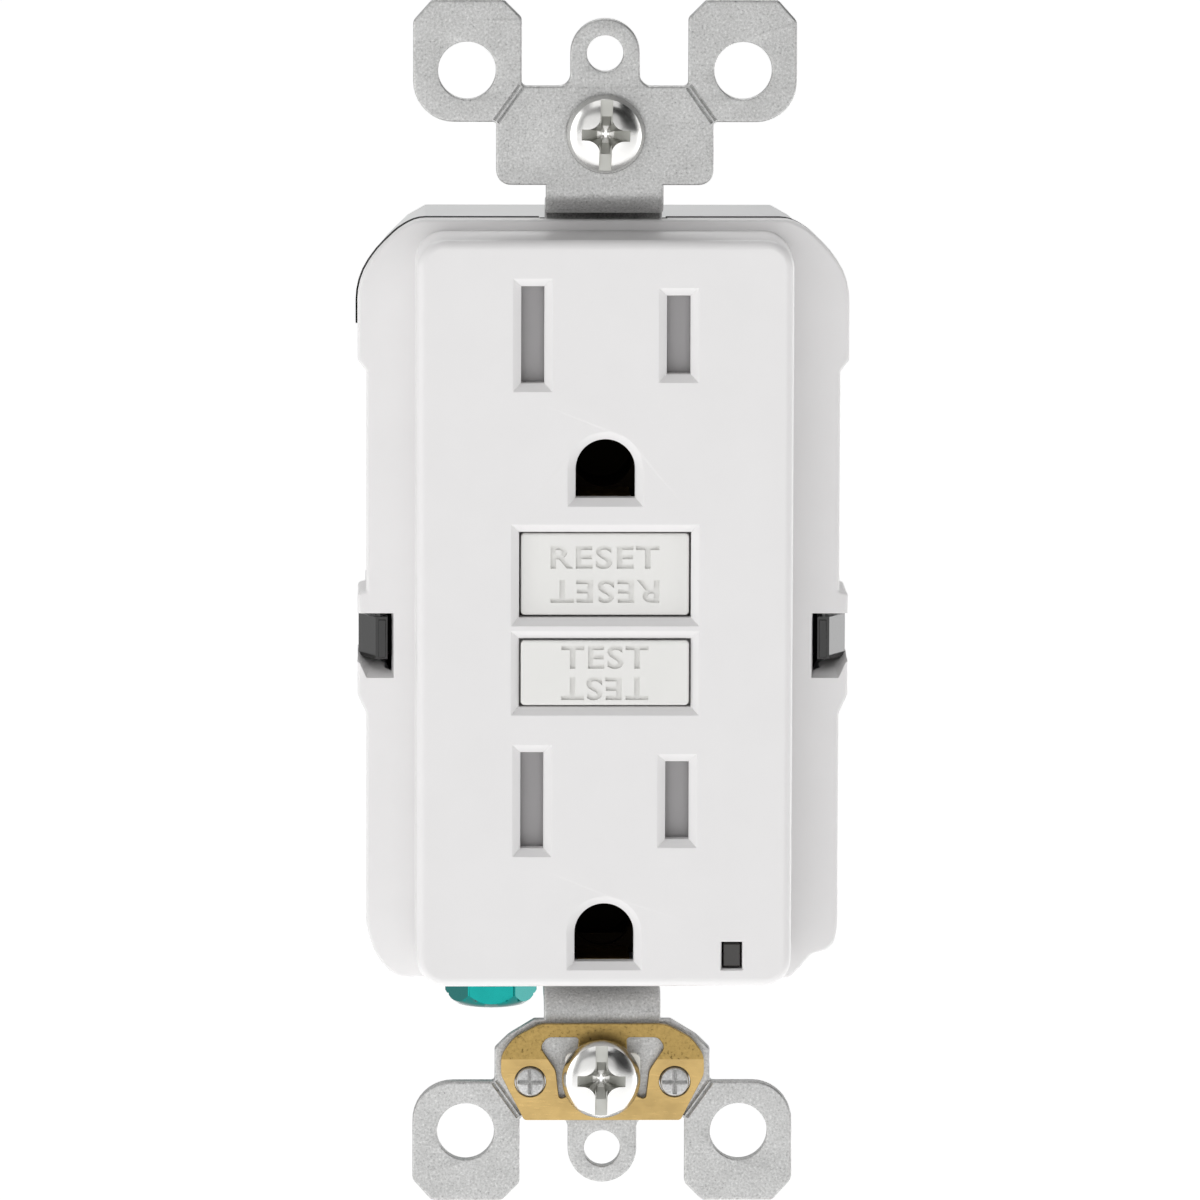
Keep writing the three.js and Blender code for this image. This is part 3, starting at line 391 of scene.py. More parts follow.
def rough_between(nodes, links, factor, low, high, shader):
    mapped = nodes.new("ShaderNodeMapRange")
    mapped.inputs["From Min"].default_value = 0.3
    mapped.inputs["From Max"].default_value = 0.7
    mapped.inputs["To Min"].default_value = low
    mapped.inputs["To Max"].default_value = high
    links.new(factor, mapped.inputs["Value"])
    links.new(mapped.outputs["Result"], shader.inputs["Roughness"])


def bumped(nodes, links, height, depth, strength, shader):
    """Relief of so many millimetres."""
    bump = nodes.new("ShaderNodeBump")
    bump.inputs["Distance"].default_value = depth * MM
    bump.inputs["Strength"].default_value = strength
    links.new(height, bump.inputs["Height"])
    links.new(bump.outputs["Normal"], shader.inputs["Normal"])


def moulded(name, color, rough=(0.3, 0.4), grain=0.35, tone=0.985, specular=0.5):
    """Injection-moulded plastic: a faint cloudiness, and a fine tooled grain."""
    material, nodes, links, shader, place = node_material(name, specular=specular)
    clouds = noise(nodes, links, place, 7.0, detail=2)
    tint = ramp(nodes, links, clouds, [(0.35, graded(color, tone)), (0.65, color)])
    links.new(tint, shader.inputs["Base Color"])
    fine = noise(nodes, links, place, grain, detail=4)
    rough_between(nodes, links, fine, *rough, shader)
    bumped(nodes, links, fine, 0.012, 0.35, shader)
    return material


def plated(name, color, rough, grain=0.5, relief=0.004):
    """Bright plating with a slightly uneven sheen."""
    material, nodes, links, shader, place = node_material(name, metallic=1.0)
    clouds = noise(nodes, links, place, 1.6, detail=4)
    tint = ramp(nodes, links, clouds, [(0.3, graded(color, 0.94)), (0.6, color)])
    links.new(tint, shader.inputs["Base Color"])
    rough_between(nodes, links, clouds, *rough, shader)
    fine = noise(nodes, links, place, grain, detail=5)
    bumped(nodes, links, fine, relief, 0.4, shader)
    return material


def dyed_with_slant_shade(name, color, edge):
    """Dyed plating, with painted shade: darker where it is seen at a slant."""
    material, nodes, links, shader, place = node_material(name, metallic=1.0)
    slant = nodes.new("ShaderNodeLayerWeight")
    slant.inputs["Blend"].default_value = 0.5
    tint = ramp(nodes, links, slant.outputs["Facing"], [(0.15, color), (0.7, edge)])
    links.new(tint, shader.inputs["Base Color"])
    clouds = noise(nodes, links, place, 1.2, detail=4)
    rough_between(nodes, links, clouds, 0.1, 0.24, shader)
    bumped(nodes, links, clouds, 0.02, 0.5, shader)
    return material


def galvanised():
    """Zinc-plated strip: a matt grey with pits, bright specks and a cloudy tone."""
    material, nodes, links, shader, place = node_material("galvanised", metallic=1.0)
    specks = noise(nodes, links, place, 0.22, detail=5, roughness=0.75)
    stops = [(0.30, (0.20, 0.20, 0.20)), (0.40, (0.46, 0.46, 0.455))]
    stops += [(0.58, (0.60, 0.60, 0.595)), (0.68, (0.74, 0.74, 0.73))]
    links.new(ramp(nodes, links, specks, stops), shader.inputs["Base Color"])
    clouds = noise(nodes, links, place, 2.5, detail=3)
    rough_between(nodes, links, clouds, 0.42, 0.56, shader)
    bumped(nodes, links, specks, 0.03, 0.6, shader)
    return material


def rolled(name, color, rough=(0.22, 0.36), tone=0.86):
    """Rolled strip with long faint lines, and a tarnish that comes and goes."""
    material, nodes, links, shader, place = node_material(name, metallic=1.0)
    clouds = noise(nodes, links, place, 3.2, detail=4)
    tint = ramp(nodes, links, clouds, [(0.3, graded(color, tone)), (0.62, color)])
    links.new(tint, shader.inputs["Base Color"])
    lines = noise(nodes, links, place, 0.12, detail=3, stretch=(9, 1, 1))
    rough_between(nodes, links, lines, *rough, shader)
    bumped(nodes, links, lines, 0.006, 0.5, shader)
    return material


def speckled(name, color, speck):
    """Sheet with fine dark specks of tarnish."""
    material, nodes, links, shader, place = node_material(name, metallic=1.0)
    specks = noise(nodes, links, place, 0.3, detail=4, roughness=0.7)
    stops = [(0.30, speck), (0.42, graded(color, 0.85)), (0.62, color)]
    links.new(ramp(nodes, links, specks, stops), shader.inputs["Base Color"])
    rough_between(nodes, links, specks, 0.5, 0.34, shader)
    bumped(nodes, links, specks, 0.012, 0.5, shader)
    return material


def wound(name, color):
    """Enamelled wire laid side by side."""
    material, nodes, links, shader, place = node_material(name, metallic=0.8)
    lines = noise(nodes, links, place, 0.5, detail=1, stretch=(1, 1, 30))
    tint = ramp(nodes, links, lines, [(0.4, graded(color, 0.45)), (0.6, color)])
    links.new(tint, shader.inputs["Base Color"])
    rough_between(nodes, links, lines, 0.25, 0.4, shader)
    bumped(nodes, links, lines, 0.08, 0.8, shader)
    return material


button_white = moulded("button_plastic", (0.80, 0.795, 0.775), rough=(0.28, 0.36))
matt_black = moulded("matt_black_plastic", (0.01, 0.01, 0.01), rough=(0.6, 0.8), specular=0.1)
gloss_black = moulded("gloss_black_plastic", (0.012, 0.012, 0.012), rough=(0.12, 0.2), tone=0.7)
polished_black = moulded("polished_black", (0.03, 0.03, 0.03), rough=(0.04, 0.1), specular=1.0)
# Near-black and almost unreflecting: painted shade for deep, unlit places inside the body and behind
# the ground holes.
painted_shade_black = moulded("painted_shade_black", (0.02, 0.014, 0.008), rough=(0.8, 0.95), specular=0.05)
# Darker brass with fine dark specks: the darker tone is painted shade for the clip's forward-bent top
# band; the specks are tarnish.
specked_brass_painted_shade = speckled("specked_brass_painted_shade", (0.40, 0.275, 0.095), (0.12, 0.08, 0.03))
# Darker, rougher nickel: painted shade for the floors and walls of the screws' slot and cross recess.
nickel_painted_shade = plated("nickel_painted_shade", (0.50, 0.50, 0.47), rough=(0.3, 0.5), grain=0.3, relief=0.02)
zinc = galvanised()

SLOT_MATERIALS = {
    "cover_plastic": moulded("white_plastic", (0.80, 0.79, 0.79), rough=(0.30, 0.38)),
    "rear_plastic": moulded("light_grey_plastic", (0.76, 0.765, 0.765), rough=(0.45, 0.55)),
    "black_plastic": gloss_black,
    "shutter_plastic": moulded("shutter_plastic", (0.40, 0.39, 0.395), rough=(0.4, 0.55)),
    "natural_plastic": moulded("natural_plastic", (0.83, 0.81, 0.76), rough=(0.4, 0.55), grain=0.6),
    "strap_steel": zinc,
    "bright_steel": plated("nickel_plate", (0.80, 0.795, 0.78), rough=(0.16, 0.26)),
    "plain_steel": rolled("plain_steel", (0.52, 0.52, 0.51)),
    "brass": rolled("brass", (0.53, 0.37, 0.15), rough=(0.26, 0.4), tone=0.78),
    "winding": wound("copper_winding", (0.62, 0.24, 0.09)),
    # The second colour is painted shade, for the slanted facets of the green screw head.
    "green_steel": dyed_with_slant_shade("green_plate", (0.012, 0.27, 0.25), (0.0, 0.07, 0.065)),
    "board": moulded("board_laminate", (0.03, 0.16, 0.06), rough=(0.3, 0.5), tone=0.8),
    "lens": moulded("smoked_lens", (0.03, 0.027, 0.025), rough=(0.08, 0.14), tone=0.8),
    "component_blue": moulded("dipped_blue", (0.03, 0.14, 0.4), tone=0.85),
    "component_black": moulded("package_black", (0.03, 0.03, 0.035), rough=(0.5, 0.65), tone=0.8),
    "component_tan": moulded("coated_tan", (0.6, 0.5, 0.33), rough=(0.45, 0.6), tone=0.85),
}
node_slots = {p["node"]: p["material_slot"] for p in frame["record"]["subparts"]}
node_bodies = {
    node: body
    for body, members in frame["record"]["behaviour"]["bodies"].items()
    for node in members
}


def add(mesh, name, *stands_for, material=None, smooth=32):
    """Puts a mesh drawn in millimetres in the scene, for the CAD nodes that it stands for."""
    mesh.transform(Matrix.Scale(MM, 4))
    mesh.shade_smooth()
    mesh.set_sharp_from_angle(angle=math.radians(smooth))
    slot = node_slots[stands_for[0]]
    mesh.materials.clear()
    mesh.materials.append(material or SLOT_MATERIALS[slot])
    piece = bpy.data.objects.new(name, mesh)
    bpy.context.scene.collection.objects.link(piece)
    normals = piece.modifiers.new("normals", "WEIGHTED_NORMAL")
    normals.keep_sharp = True
    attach(piece, node_bodies[stands_for[0]])
    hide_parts(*stands_for)
    return piece


def refinished(piece, material, chosen):
    """Gives another material to the faces that a test picks."""
    piece.data.materials.append(material)
    for face in piece.data.polygons:
        if chosen(face):
            face.material_index = len(piece.data.materials) - 1


def soften(piece, width, segments=2, angle=40):
    """Rounds a piece's sharp edges."""
    bevel = piece.modifiers.new("soft_edges", "BEVEL")
    bevel.width = width * MM
    bevel.segments = segments
    bevel.limit_method = "ANGLE"
    bevel.angle_limit = math.radians(angle)
    return bevel


def soften_first(piece, width, segments=2, angle=40):
    """Rounds a drawn piece's sharp edges, before its shading normals are weighed."""
    soften(piece, width, segments, angle).harden_normals = True
    piece.modifiers.move(len(piece.modifiers) - 1, 0)


# ---------------------------------------------------------------- front cover

cover_low, cover_high = span("front_cover")
FACE = cover_low.y
FACE_INSIDE = FACE + 1.8
SHOULDER = 1.6
FLANGE_BACK = 3.3
COVER_BACK = 3.7
RIM_BACK = 5.3
SKIRT_BACK = cover_high.y
SKIRT_INSIDE = 19.9
BODY_TOP = cover_high.z
BODY_BOTTOM = cover_low.z
BODY_HALF_WIDTH = cover_high.x
BOSS_HALF_WIDTH = BODY_HALF_WIDTH - 0.2
WAIST_HALF_WIDTH = BOSS_HALF_WIDTH - 0.77
FACE_HALF_WIDTH = 16.4
FACE_TOP = 32.6
FACE_BOTTOM = -33.1
RIM_OUTSIDE = (20.18, 33.0, 4.8)  # half width, half height and how much its corners are cut off
RIM_INSIDE = (19.2, 32.1, 4.3)
BLADE_X = 6.35
UPPER_BLADE_Z = middle("upper_shutter").z
LOWER_BLADE_Z = middle("lower_shutter").z
BLADE_TO_GROUND = 11.73
GROUND_RADIUS = 2.585
GROUND_FLAT_DROP = 2.53
RECESS = 0.75
RECESS_DEPTH = 0.55
RESET_Z = middle("reset_button").z
TEST_Z = middle("test_button").z
BUTTON_HALF_WIDTH = 7.5
RESET_HALF_HEIGHT = 3.75
TEST_HALF_HEIGHT = 3.0
BUTTON_PLAY = 0.16
LETTER_HEIGHT = 2.05
LETTER_DEPTH = 0.28
INDICATOR = middle("indicator_light_pipe")
NECK_ROOM = 5.6  # half the width of the notches for the strap's necks
LATCH_TOP = -1.6
WINDOW_INSIDE = 18.4
WINDOW_OUTSIDE = 22.5  # beyond the cover's side, which leaves the window open there

# Corners of the body's outline, from the top down: x, z and the radius that rounds them.
UPPER_CORNER = [
    (16.4, BODY_TOP, 3.0), (18.0, 32.75, 5.0), (19.85, 30.95, 8.0), (21.1, 29.1, 8.0),
    (BOSS_HALF_WIDTH, 27.3, 6.0),
]
SIDE_STEPS = [
    (BOSS_HALF_WIDTH, 21.2, 0.5), (WAIST_HALF_WIDTH, 20.2, 0.4), (WAIST_HALF_WIDTH, 0.85, 0.15),
    (BOSS_HALF_WIDTH, 0.65, 0.4), (BOSS_HALF_WIDTH, -8.5, 1.2), (WAIST_HALF_WIDTH, -10.1, 1.2),
]
UPPER_SIDE = UPPER_CORNER + SIDE_STEPS + [(WAIST_HALF_WIDTH, -29.0, 5.0)]
LOWER_RIGHT = [
    (20.6, -30.5, 1.6), (19.9, -31.2, 1.4), (18.5, -31.6, 1.2), (17.6, -32.7, 2.0),
    (16.6, BODY_BOTTOM, 0.8),
]
LOWER_LEFT = [(20.1, -31.5, 4.0), (18.9, -33.0, 3.0), (17.9, -33.6, 2.0)]


def body_outline():
    clockwise = UPPER_SIDE + LOWER_RIGHT + reflected(UPPER_SIDE + LOWER_LEFT)
    return filleted(clockwise[::-1])


def ground_outline():
    """A ground hole: round above, square below."""
    flat = [Vector((x, -GROUND_FLAT_DROP)) for x in (-GROUND_RADIUS, GROUND_RADIUS)]
    return arc(0, 0, GROUND_RADIUS, 0, 180, 32) + flat


def recess_section(width, depth):
    """From the face, down a slope into an opening, through the face's wall."""
    return [
        (width, FACE), (width - 0.07, FACE + 0.03), (0.1, FACE + depth),
        (0.02, FACE + depth + 0.08), (0, FACE + depth + 0.2), (0, FACE_INSIDE),
    ]


def face_openings():
    """(outline, section) of each opening in the face."""
    openings = []
    for blade_z in (UPPER_BLADE_Z, LOWER_BLADE_Z):
        openings.append((rectangle(1.0, 4.23, -BLADE_X, blade_z), RECESS))
        openings.append((rectangle(1.025, 3.425, BLADE_X, blade_z), RECESS))
        openings.append((moved(ground_outline(), 0, blade_z - BLADE_TO_GROUND), RECESS))
    openings.append((rectangle(BUTTON_HALF_WIDTH, RESET_HALF_HEIGHT, 0, RESET_Z), RECESS))
    openings.append((rectangle(BUTTON_HALF_WIDTH, TEST_HALF_HEIGHT, 0, TEST_Z), RECESS))
    sections = [(loop, recess_section(width, RECESS_DEPTH)) for loop, width in openings]
    window = rectangle(0.9, 1.185, INDICATOR.x, INDICATOR.z)
    sections.append((window, recess_section(0.17, 0.25)))
    return sections


def stem(half_width, half_height, corner):
    """The outline of the rim behind the shoulders, with its corners cut off."""
    side = [(half_width - corner, half_height, 1.5), (half_width, half_height - corner, 1.5)]
    right = side + [(x, -z, radius) for x, z, radius in side[::-1]]
    return filleted((right + reflected(right))[::-1])


def cover_skin():
    """The face with its openings, the shoulders round it, and the rim and hollow behind them."""
    skin = Skin()
    half_height = (FACE_TOP - FACE_BOTTOM) / 2
    face = rounded_rectangle(FACE_HALF_WIDTH, half_height, 2.5, 0, FACE_TOP - half_height)
    section = rounding(0.8, FACE, 1, steps=8)
    section += [(0.05, SHOULDER - 0.12), (0.08, SHOULDER - 0.04), (0.14, SHOULDER)]
    face_front, face_foot = skin.wall(face, section)
    outline = body_outline()
    edge = rounding(0.3, SHOULDER, 1, steps=5)
    edge += rounding(0.1, FLANGE_BACK, -1, steps=2)[::-1]
    flange_front, flange_back = skin.wall(outline, edge)
    outside = skin.wall(stem(*RIM_OUTSIDE), [(0, FLANGE_BACK), (0, RIM_BACK)])
    rim = skin.wall(stem(*RIM_INSIDE), [(0, RIM_BACK), (0, COVER_BACK)])
    hollow = rounded_rectangle(15.0, 31.7, 1.2)
    hollow_front, hollow_back = skin.wall(hollow, [(0, FACE_INSIDE), (0, COVER_BACK)])
    fronts, backs = [face_front], [hollow_front]
    for loop, opening in face_openings():
        first, last = skin.wall(loop, opening)
        fronts.append(first)
        backs.append(last)
    skin.cap(*fronts)
    skin.cap(*backs)
    skin.cap(flange_front, face_foot)
    skin.cap(flange_back, outside[0])
    skin.cap(outside[1], rim[0])
    skin.cap(rim[1], hollow_back)
    return skin.mesh()


def skirt(side):
    """A wall behind a shoulder that covers the body's side."""
    top, bottom, corner = 23.5, -28.4, 0.3
    corners = [(SKIRT_INSIDE, bottom, corner), (WAIST_HALF_WIDTH - FINE, bottom, corner)]
    corners += [(x - FINE, z, radius) for x, z, radius in SIDE_STEPS[::-1]]
    corners += [(BOSS_HALF_WIDTH - FINE, top, corner), (SKIRT_INSIDE, top, corner)]
    return on_side(side, plate(filleted(corners), SHOULDER + 0.9, SKIRT_BACK, edge=0.2))


def latch_window(side):
    """The window in a side boss that shows the latch: open at the side, with a sloped sill."""
    top, inside, outside = LATCH_TOP + 0.45, WINDOW_INSIDE, WINDOW_OUTSIDE
    front = [(outside, -4.6), (outside, top), (inside, top), (inside, -6.9), (20.8, -6.9), (21.4, -5.6)]
    back = [(outside, -4.75), (outside, top), (inside + 0.35, top), (inside + 0.35, -6.2)]
    back += [(20.3, -5.5), (21.4, -5.0)]
    front, back = [Vector(p) for p in front], [Vector(p) for p in back]
    depths = (SHOULDER - 0.5, SHOULDER + 0.1, RIM_BACK, SKIRT_BACK + THROUGH)
    return on_side(side, lofted(list(zip((front, front, back, back), depths))))


def front_cover():
    """The cover, with its latch windows and its notches for the necks and the ground tab."""
    cover = joined(cover_skin(), skirt(1), skirt(-1))
    notch_front, notch_inside, back, beyond = 2.5, 31.8, RIM_BACK + THROUGH, 40
    tools = [
        latch_window(1),
        latch_window(-1),
        block(-NECK_ROOM, NECK_ROOM, notch_front, back, notch_inside, beyond),
        block(-NECK_ROOM, NECK_ROOM, notch_front, back, -beyond, -notch_inside),
        block(-14.3, -5.1, COVER_BACK, back, -beyond, -26.8),
    ]
    add(cut(cover, *tools), "front_cover_shell", "front_cover")


front_cover()


# ---------------------------------------------------------------- middle housing

LATCH_INSIDE = 18.95
LATCH_OUTSIDE = 21.5
LATCH_BOTTOM = -5.35
LATCH_BACK = 8.3
LIP_OUTSET = 0.17  # how far the lip stands out beyond the cover's upper corners
LIP_DROP = 0.5
LIP_THICKNESS = 1.4
LIP_FRONT = 5.65
LIP_BACK = 8.35
LIP_BOTTOM = 24.15


def cad_copy(node):
    """A CAD node's mesh as a solid to work on, in millimetres."""
    build = bmesh.new()
    build.from_mesh(frame["nodes"][node].data)
    build.transform(Matrix.Scale(1 / MM, 4))
    return closed(build)


def latch(side):
    """A hook that slopes back outwards, with a raised strip down its front."""
    line = [(LATCH_INSIDE, 2.6), (20.0, 2.6), (LATCH_OUTSIDE, 5.2)]
    line += [(LATCH_OUTSIDE, LATCH_BACK), (LATCH_INSIDE, LATCH_BACK)]
    hook = prism([Vector(p) for p in line], -LATCH_TOP, -LATCH_BOTTOM)
    hook.transform(Matrix(((1, 0, 0, 0), (0, 0, 1, 0), (0, -1, 0, 0), (0, 0, 0, 1))))
    strip = block(19.1, 19.75, 2.45, 3.2, -5.2, LATCH_TOP - 0.25, edge=0.06)
    return on_side(side, joined(hook, strip))


def on_latch(face):
    place = face.center / MM
    return abs(place.x) > 18.9 and -7 < place.z < -1


def on_right_slope(face):
    return on_latch(face) and face.normal.x > 0.5 and face.normal.y < -0.3


def middle_housing():
    """The CAD's black carrier with better latches, and a thin lip round the upper corners."""
    room = [block(18.6, 22, 1, 9, -7.2, -1.2), block(-22, -18.6, 1, 9, -7.2, -1.2)]
    roots = [block(18.4, 19.3, 6, 8.2, -5.3, LATCH_TOP), block(-19.3, -18.4, 6, 8.2, -5.3, LATCH_TOP)]
    tab_corner = [(21.78, 26.0), (22.5, 26.0), (22.5, 28.5), (20.9, 28.5), (21.1, 27.9)]
    corner = prism([Vector(p) for p in tab_corner], 5, 9)
    trimmed = cut(cad_copy("middle_housing"), *room, corner, mirrored(corner))
    below = block(-25, 25, 0, 20, -40, LIP_BOTTOM)
    neck = block(-NECK_ROOM, NECK_ROOM, 0, 20, 28, 40)
    right = UPPER_CORNER + [(BOSS_HALF_WIDTH, 20.0, 0)]
    shoulders = filleted((right + reflected(right))[::-1])
    around = moved(offset(shoulders, LIP_OUTSET), 0, -LIP_DROP)
    inside = prism(offset(shoulders, -LIP_THICKNESS), 0, 20)
    lip = cut(prism(around, LIP_FRONT, LIP_BACK), below, neck, inside)
    carrier = joined(trimmed, lip, latch(1), latch(-1), *roots)
    piece = add(carrier, "carrier_with_latches", "middle_housing", material=matt_black)
    refinished(piece, gloss_black, on_latch)
    refinished(piece, polished_black, on_right_slope)
    soften_first(piece, 0.1)


middle_housing()


# ---------------------------------------------------------------- rear housing


def rear_housing():
    """The CAD's rear housing with softer edges, a sunk label panel and a strip gauge."""
    back = span("rear_housing")[1].y
    beyond = back + THROUGH
    panel = block(-8.5, 8.5, back - 0.3, beyond, -12.0, 12.0, edge=0.05)
    grooves = [block(-8.0, 8.0, back - 0.5, beyond, z - 0.35, z + 0.35) for z in (-17.5, 17.5)]
    gauge = block(-6.5, -5.9, back - 0.4, beyond, 20.0, 31.0)
    details = [panel, *grooves, gauge]
    piece = add(cut(cad_copy("rear_housing"), *details), "rear_shell", "rear_housing")
    soften_first(piece, 0.35, 3, 35)


rear_housing()


# ---------------------------------------------------------------- buttons


def button(node, half_height, word, half_word):
    """A button with its word cut into it twice, the lower one upside down."""
    low, high = span(node)
    centre = middle(node)
    front = low.y
    half_width = BUTTON_HALF_WIDTH - BUTTON_PLAY
    half_height -= BUTTON_PLAY
    cap_back = high.y - 0.8
    outline = rounded_rectangle(half_width, half_height, 0.35, 0, centre.z)
    cap = plate(outline, front, cap_back, edge=0.16)
    flange = block(low.x, high.x, cap_back - 0.1, high.y, low.z, high.z, edge=0.1)
    body = joined(cap, flange)
    line = 1.5 if half_height > 3.2 else 1.38
    engraved = []
    for angle, z in ((0, line), (180, -line)):
        letters = lettering(word, half_word, LETTER_HEIGHT, front - 0.3, front + LETTER_DEPTH)
        engraved.append(placed(letters, shift(z=centre.z + z) @ turn(angle, "Y")))
    made = cut(body, *engraved)
    if node == "reset_button":
        made = cut(made, rod(1.5, -4.0, high.y + THROUGH, 0, centre.z))
    add(made, node + "_cap", node, material=button_white)


button("reset_button", RESET_HALF_HEIGHT, "RESET", half_word=4.75)
button("test_button", TEST_HALF_HEIGHT, "TEST", half_word=3.8)


# ---------------------------------------------------------------- strap

strap_low, strap_high = span("mounting_strap")
EAR_FRONT = strap_low.y
EAR_BACK = EAR_FRONT + 1.3
STRAP_END = strap_high.z
PLATE_SCREW_Z = 96.84 / 2
MOUNTING_SCREW_Z = middle("upper_mounting_screw").z
NECK_HALF_WIDTH = 5.15
EAR_OUTSIDE = strap_high.x
DEEP_FRONT = 4.0
DEEP_BACK = 5.3
EAR_HOLE = (12.05, 46.92)
EAR_HOLE_RADIUS = 2.515
PLATE_HOLE_RADIUS = 1.59
TAB_RADIUS = 3.04

UPPER_PLATE_CORNER = [(9.5, 36.9, 1.3)]
LOWER_PLATE_CORNER = [(6.0, 36.9, 0.4), (8.3, 38.3, 2.0), (9.5, 39.5, 0.4)]


def ear_outline(plate_corner):
    """One end of the strap: round-shouldered ears either side of a centre tab."""
    side = plate_corner + [
        (9.5, 42.42, 0.3), (EAR_OUTSIDE, 42.42, 3.6), (EAR_OUTSIDE, STRAP_END - 1.9, 0.8),
        (EAR_OUTSIDE - 1.7, STRAP_END, 0.6), (8.86, STRAP_END, 0.6), (7.26, STRAP_END - 1.6, 0.6),
        (7.26, 45.57, 0.4), (TAB_RADIUS, 45.57, 1.0),
    ]
    tab = [(p.x, p.y, 0) for p in arc(0, PLATE_SCREW_Z, TAB_RADIUS, 0, 180, 32)]
    return filleted(side + tab + reflected(side))


def strap_holes():
    slot_reach, slot_radius = 1.2, 2.1
    slot = arc(slot_reach, MOUNTING_SCREW_Z, slot_radius, -90, 90)
    slot += arc(-slot_reach, MOUNTING_SCREW_Z, slot_radius, 90, 270)
    x, z = EAR_HOLE
    return [
        circle(0, PLATE_SCREW_Z, PLATE_HOLE_RADIUS),
        circle(x, z, EAR_HOLE_RADIUS),
        circle(-x, z, EAR_HOLE_RADIUS),
        slot,
    ]


def neck_line():
    """The strap's outline in Y and Z where it bends back and down into the body."""
    outer, inner = 2.2, 0.9
    shelf_top, shelf_bottom = 35.6, 34.3
    first = (EAR_FRONT + outer, shelf_bottom + outer)
    second = (DEEP_BACK - outer, shelf_top - outer)
    outside = arc(*first, outer, 180, 270, 12) + arc(*second, inner, 90, 0, 10)
    inside = arc(*second, outer, 0, 90, 12) + arc(*first, inner, 270, 180, 10)
    return (
        [Vector((EAR_FRONT + 0.02, 37.3))]
        + outside
        + [Vector((DEEP_FRONT, 30.0)), Vector((DEEP_BACK, 30.0))]
        + inside
        + [Vector((EAR_BACK - 0.02, 37.3))]
    )


SWAP_XY = Matrix(((0, 1, 0, 0), (1, 0, 0, 0), (0, 0, 1, 0), (0, 0, 0, 1)))


def across(loop, half_width, edge):
    """A solid whose outline is drawn in Y and Z, with rounded ends on either side."""
    skin = Skin()
    section = rounding(edge, -half_width, 1) + rounding(edge, half_width, -1)[::-1]
    first, last = skin.wall(loop, section)
    skin.cap(first)
    skin.cap(last)
    skin.build.transform(SWAP_XY)
    return skin.mesh()


def score_lines(side):
    """Two grooves close together, where an ear is meant to break off."""
    tools = []
    for apart in (-0.2, 0.2):
        groove = block(-1.9, 1.9, -0.11, 0.11, -0.11, 0.11)
        groove.transform(turn(45, "X"))
        groove.transform(turn(54.5, "Y") @ shift(z=apart))
        groove.transform(shift(8.4, EAR_FRONT, 44.0))
        tools.append(on_side(side, groove))
    return tools


def strap_end(plate_corner):
    """Two ears and a centre tab in one plane, the neck that leads back from it, and the scores."""
    outline = ear_outline(plate_corner)
    ear = plate(outline, EAR_FRONT, EAR_BACK, edge=0.2, holes=strap_holes(), hole_edge=0.12)
    neck = across(neck_line(), NECK_HALF_WIDTH, 0.25)
    return cut(joined(ear, neck), *score_lines(1), *score_lines(-1))


def spine():
    """The strap's flat middle, in the plane between cover and middle housing."""
    def deep(half_width, z0, z1):
        return block(-half_width, half_width, DEEP_FRONT, DEEP_BACK, z0, z1)

    parts = [
        deep(3.6, 17, 30.6),
        deep(5.5, 9, 18),
        deep(10.3, -10.2, 9.8),
        deep(3.6, -23.5, -10),
        deep(5.5, -31.5, -23),
        block(-13.6, -5.0, DEEP_FRONT, DEEP_BACK, -33.0, -30.7, edge=0.1),
        block(-13.6, -5.5, DEEP_FRONT + 0.1, 13.4, -31.9, -30.6, edge=0.15),
    ]
    middle_part = joined(deep(4.9, 30.0, 31.0), *parts, deep(4.9, -32, -30.5))
    tools = [
        block(-8.0, 8.0, DEEP_FRONT - 1, DEEP_BACK + 1, -8.8, 8.4),
        rod(3.4, DEEP_FRONT - 1, DEEP_BACK + 1, 0, UPPER_BLADE_Z - BLADE_TO_GROUND),
        rod(3.4, DEEP_FRONT - 1, DEEP_BACK + 1, 0, LOWER_BLADE_Z - BLADE_TO_GROUND),
        ground_bore(2.25, -33, -30),
    ]
    return cut(middle_part, *tools)


def ground_bore(radius, bottom, top):
    place = middle("ground_screw")
    bore = rod(radius, bottom, top)
    return placed(bore, shift(place.x, place.y, 0) @ turn(90, "X"))


def painted_shade_inside_body(face):
    return face.center.y > 3.9 * MM and abs(face.center.z) < 33 * MM


def mounting_strap():
    upper = strap_end(UPPER_PLATE_CORNER)
    lower = mirrored(strap_end(LOWER_PLATE_CORNER), MIRROR_Z)
    made = joined(spine(), upper, lower)
    rivet = middle("clip_rivet_right")
    holes = [rod(1.6, -3, 1, side * rivet.x, rivet.z) for side in (-1, 1)]
    piece = add(cut(made, *holes), "strap_with_ears", "mounting_strap", smooth=28)
    # The strap's faces inside the body are painted near-black as shade.
    refinished(piece, painted_shade_black, painted_shade_inside_body)


mounting_strap()


# ---------------------------------------------------------------- self-grounding clip


def clip_outline(low_edge):
    side = [
        (6.9, low_edge, 0.4), (8.95, -41.7, 1.5), (8.95, -39.9, 2.0), (7.8, -38.3, 2.5),
        (5.5, -37.05, 2.5),
    ]
    return filleted(side + reflected(side))


def clip_wing(side):
    corners = [
        (2.1, -38.3, 0.3), (4.9, -38.3, 0.8), (5.5, -39.2, 0.7), (4.1, -41.3, 1.4),
        (3.8, -43.9, 0.3), (3.1, -43.6, 0.2), (2.3, -41.4, 0.5),
    ]
    loop = filleted([(side * x, z, radius) for x, z, radius in corners])
    return loop[::-1] if side > 0 else loop


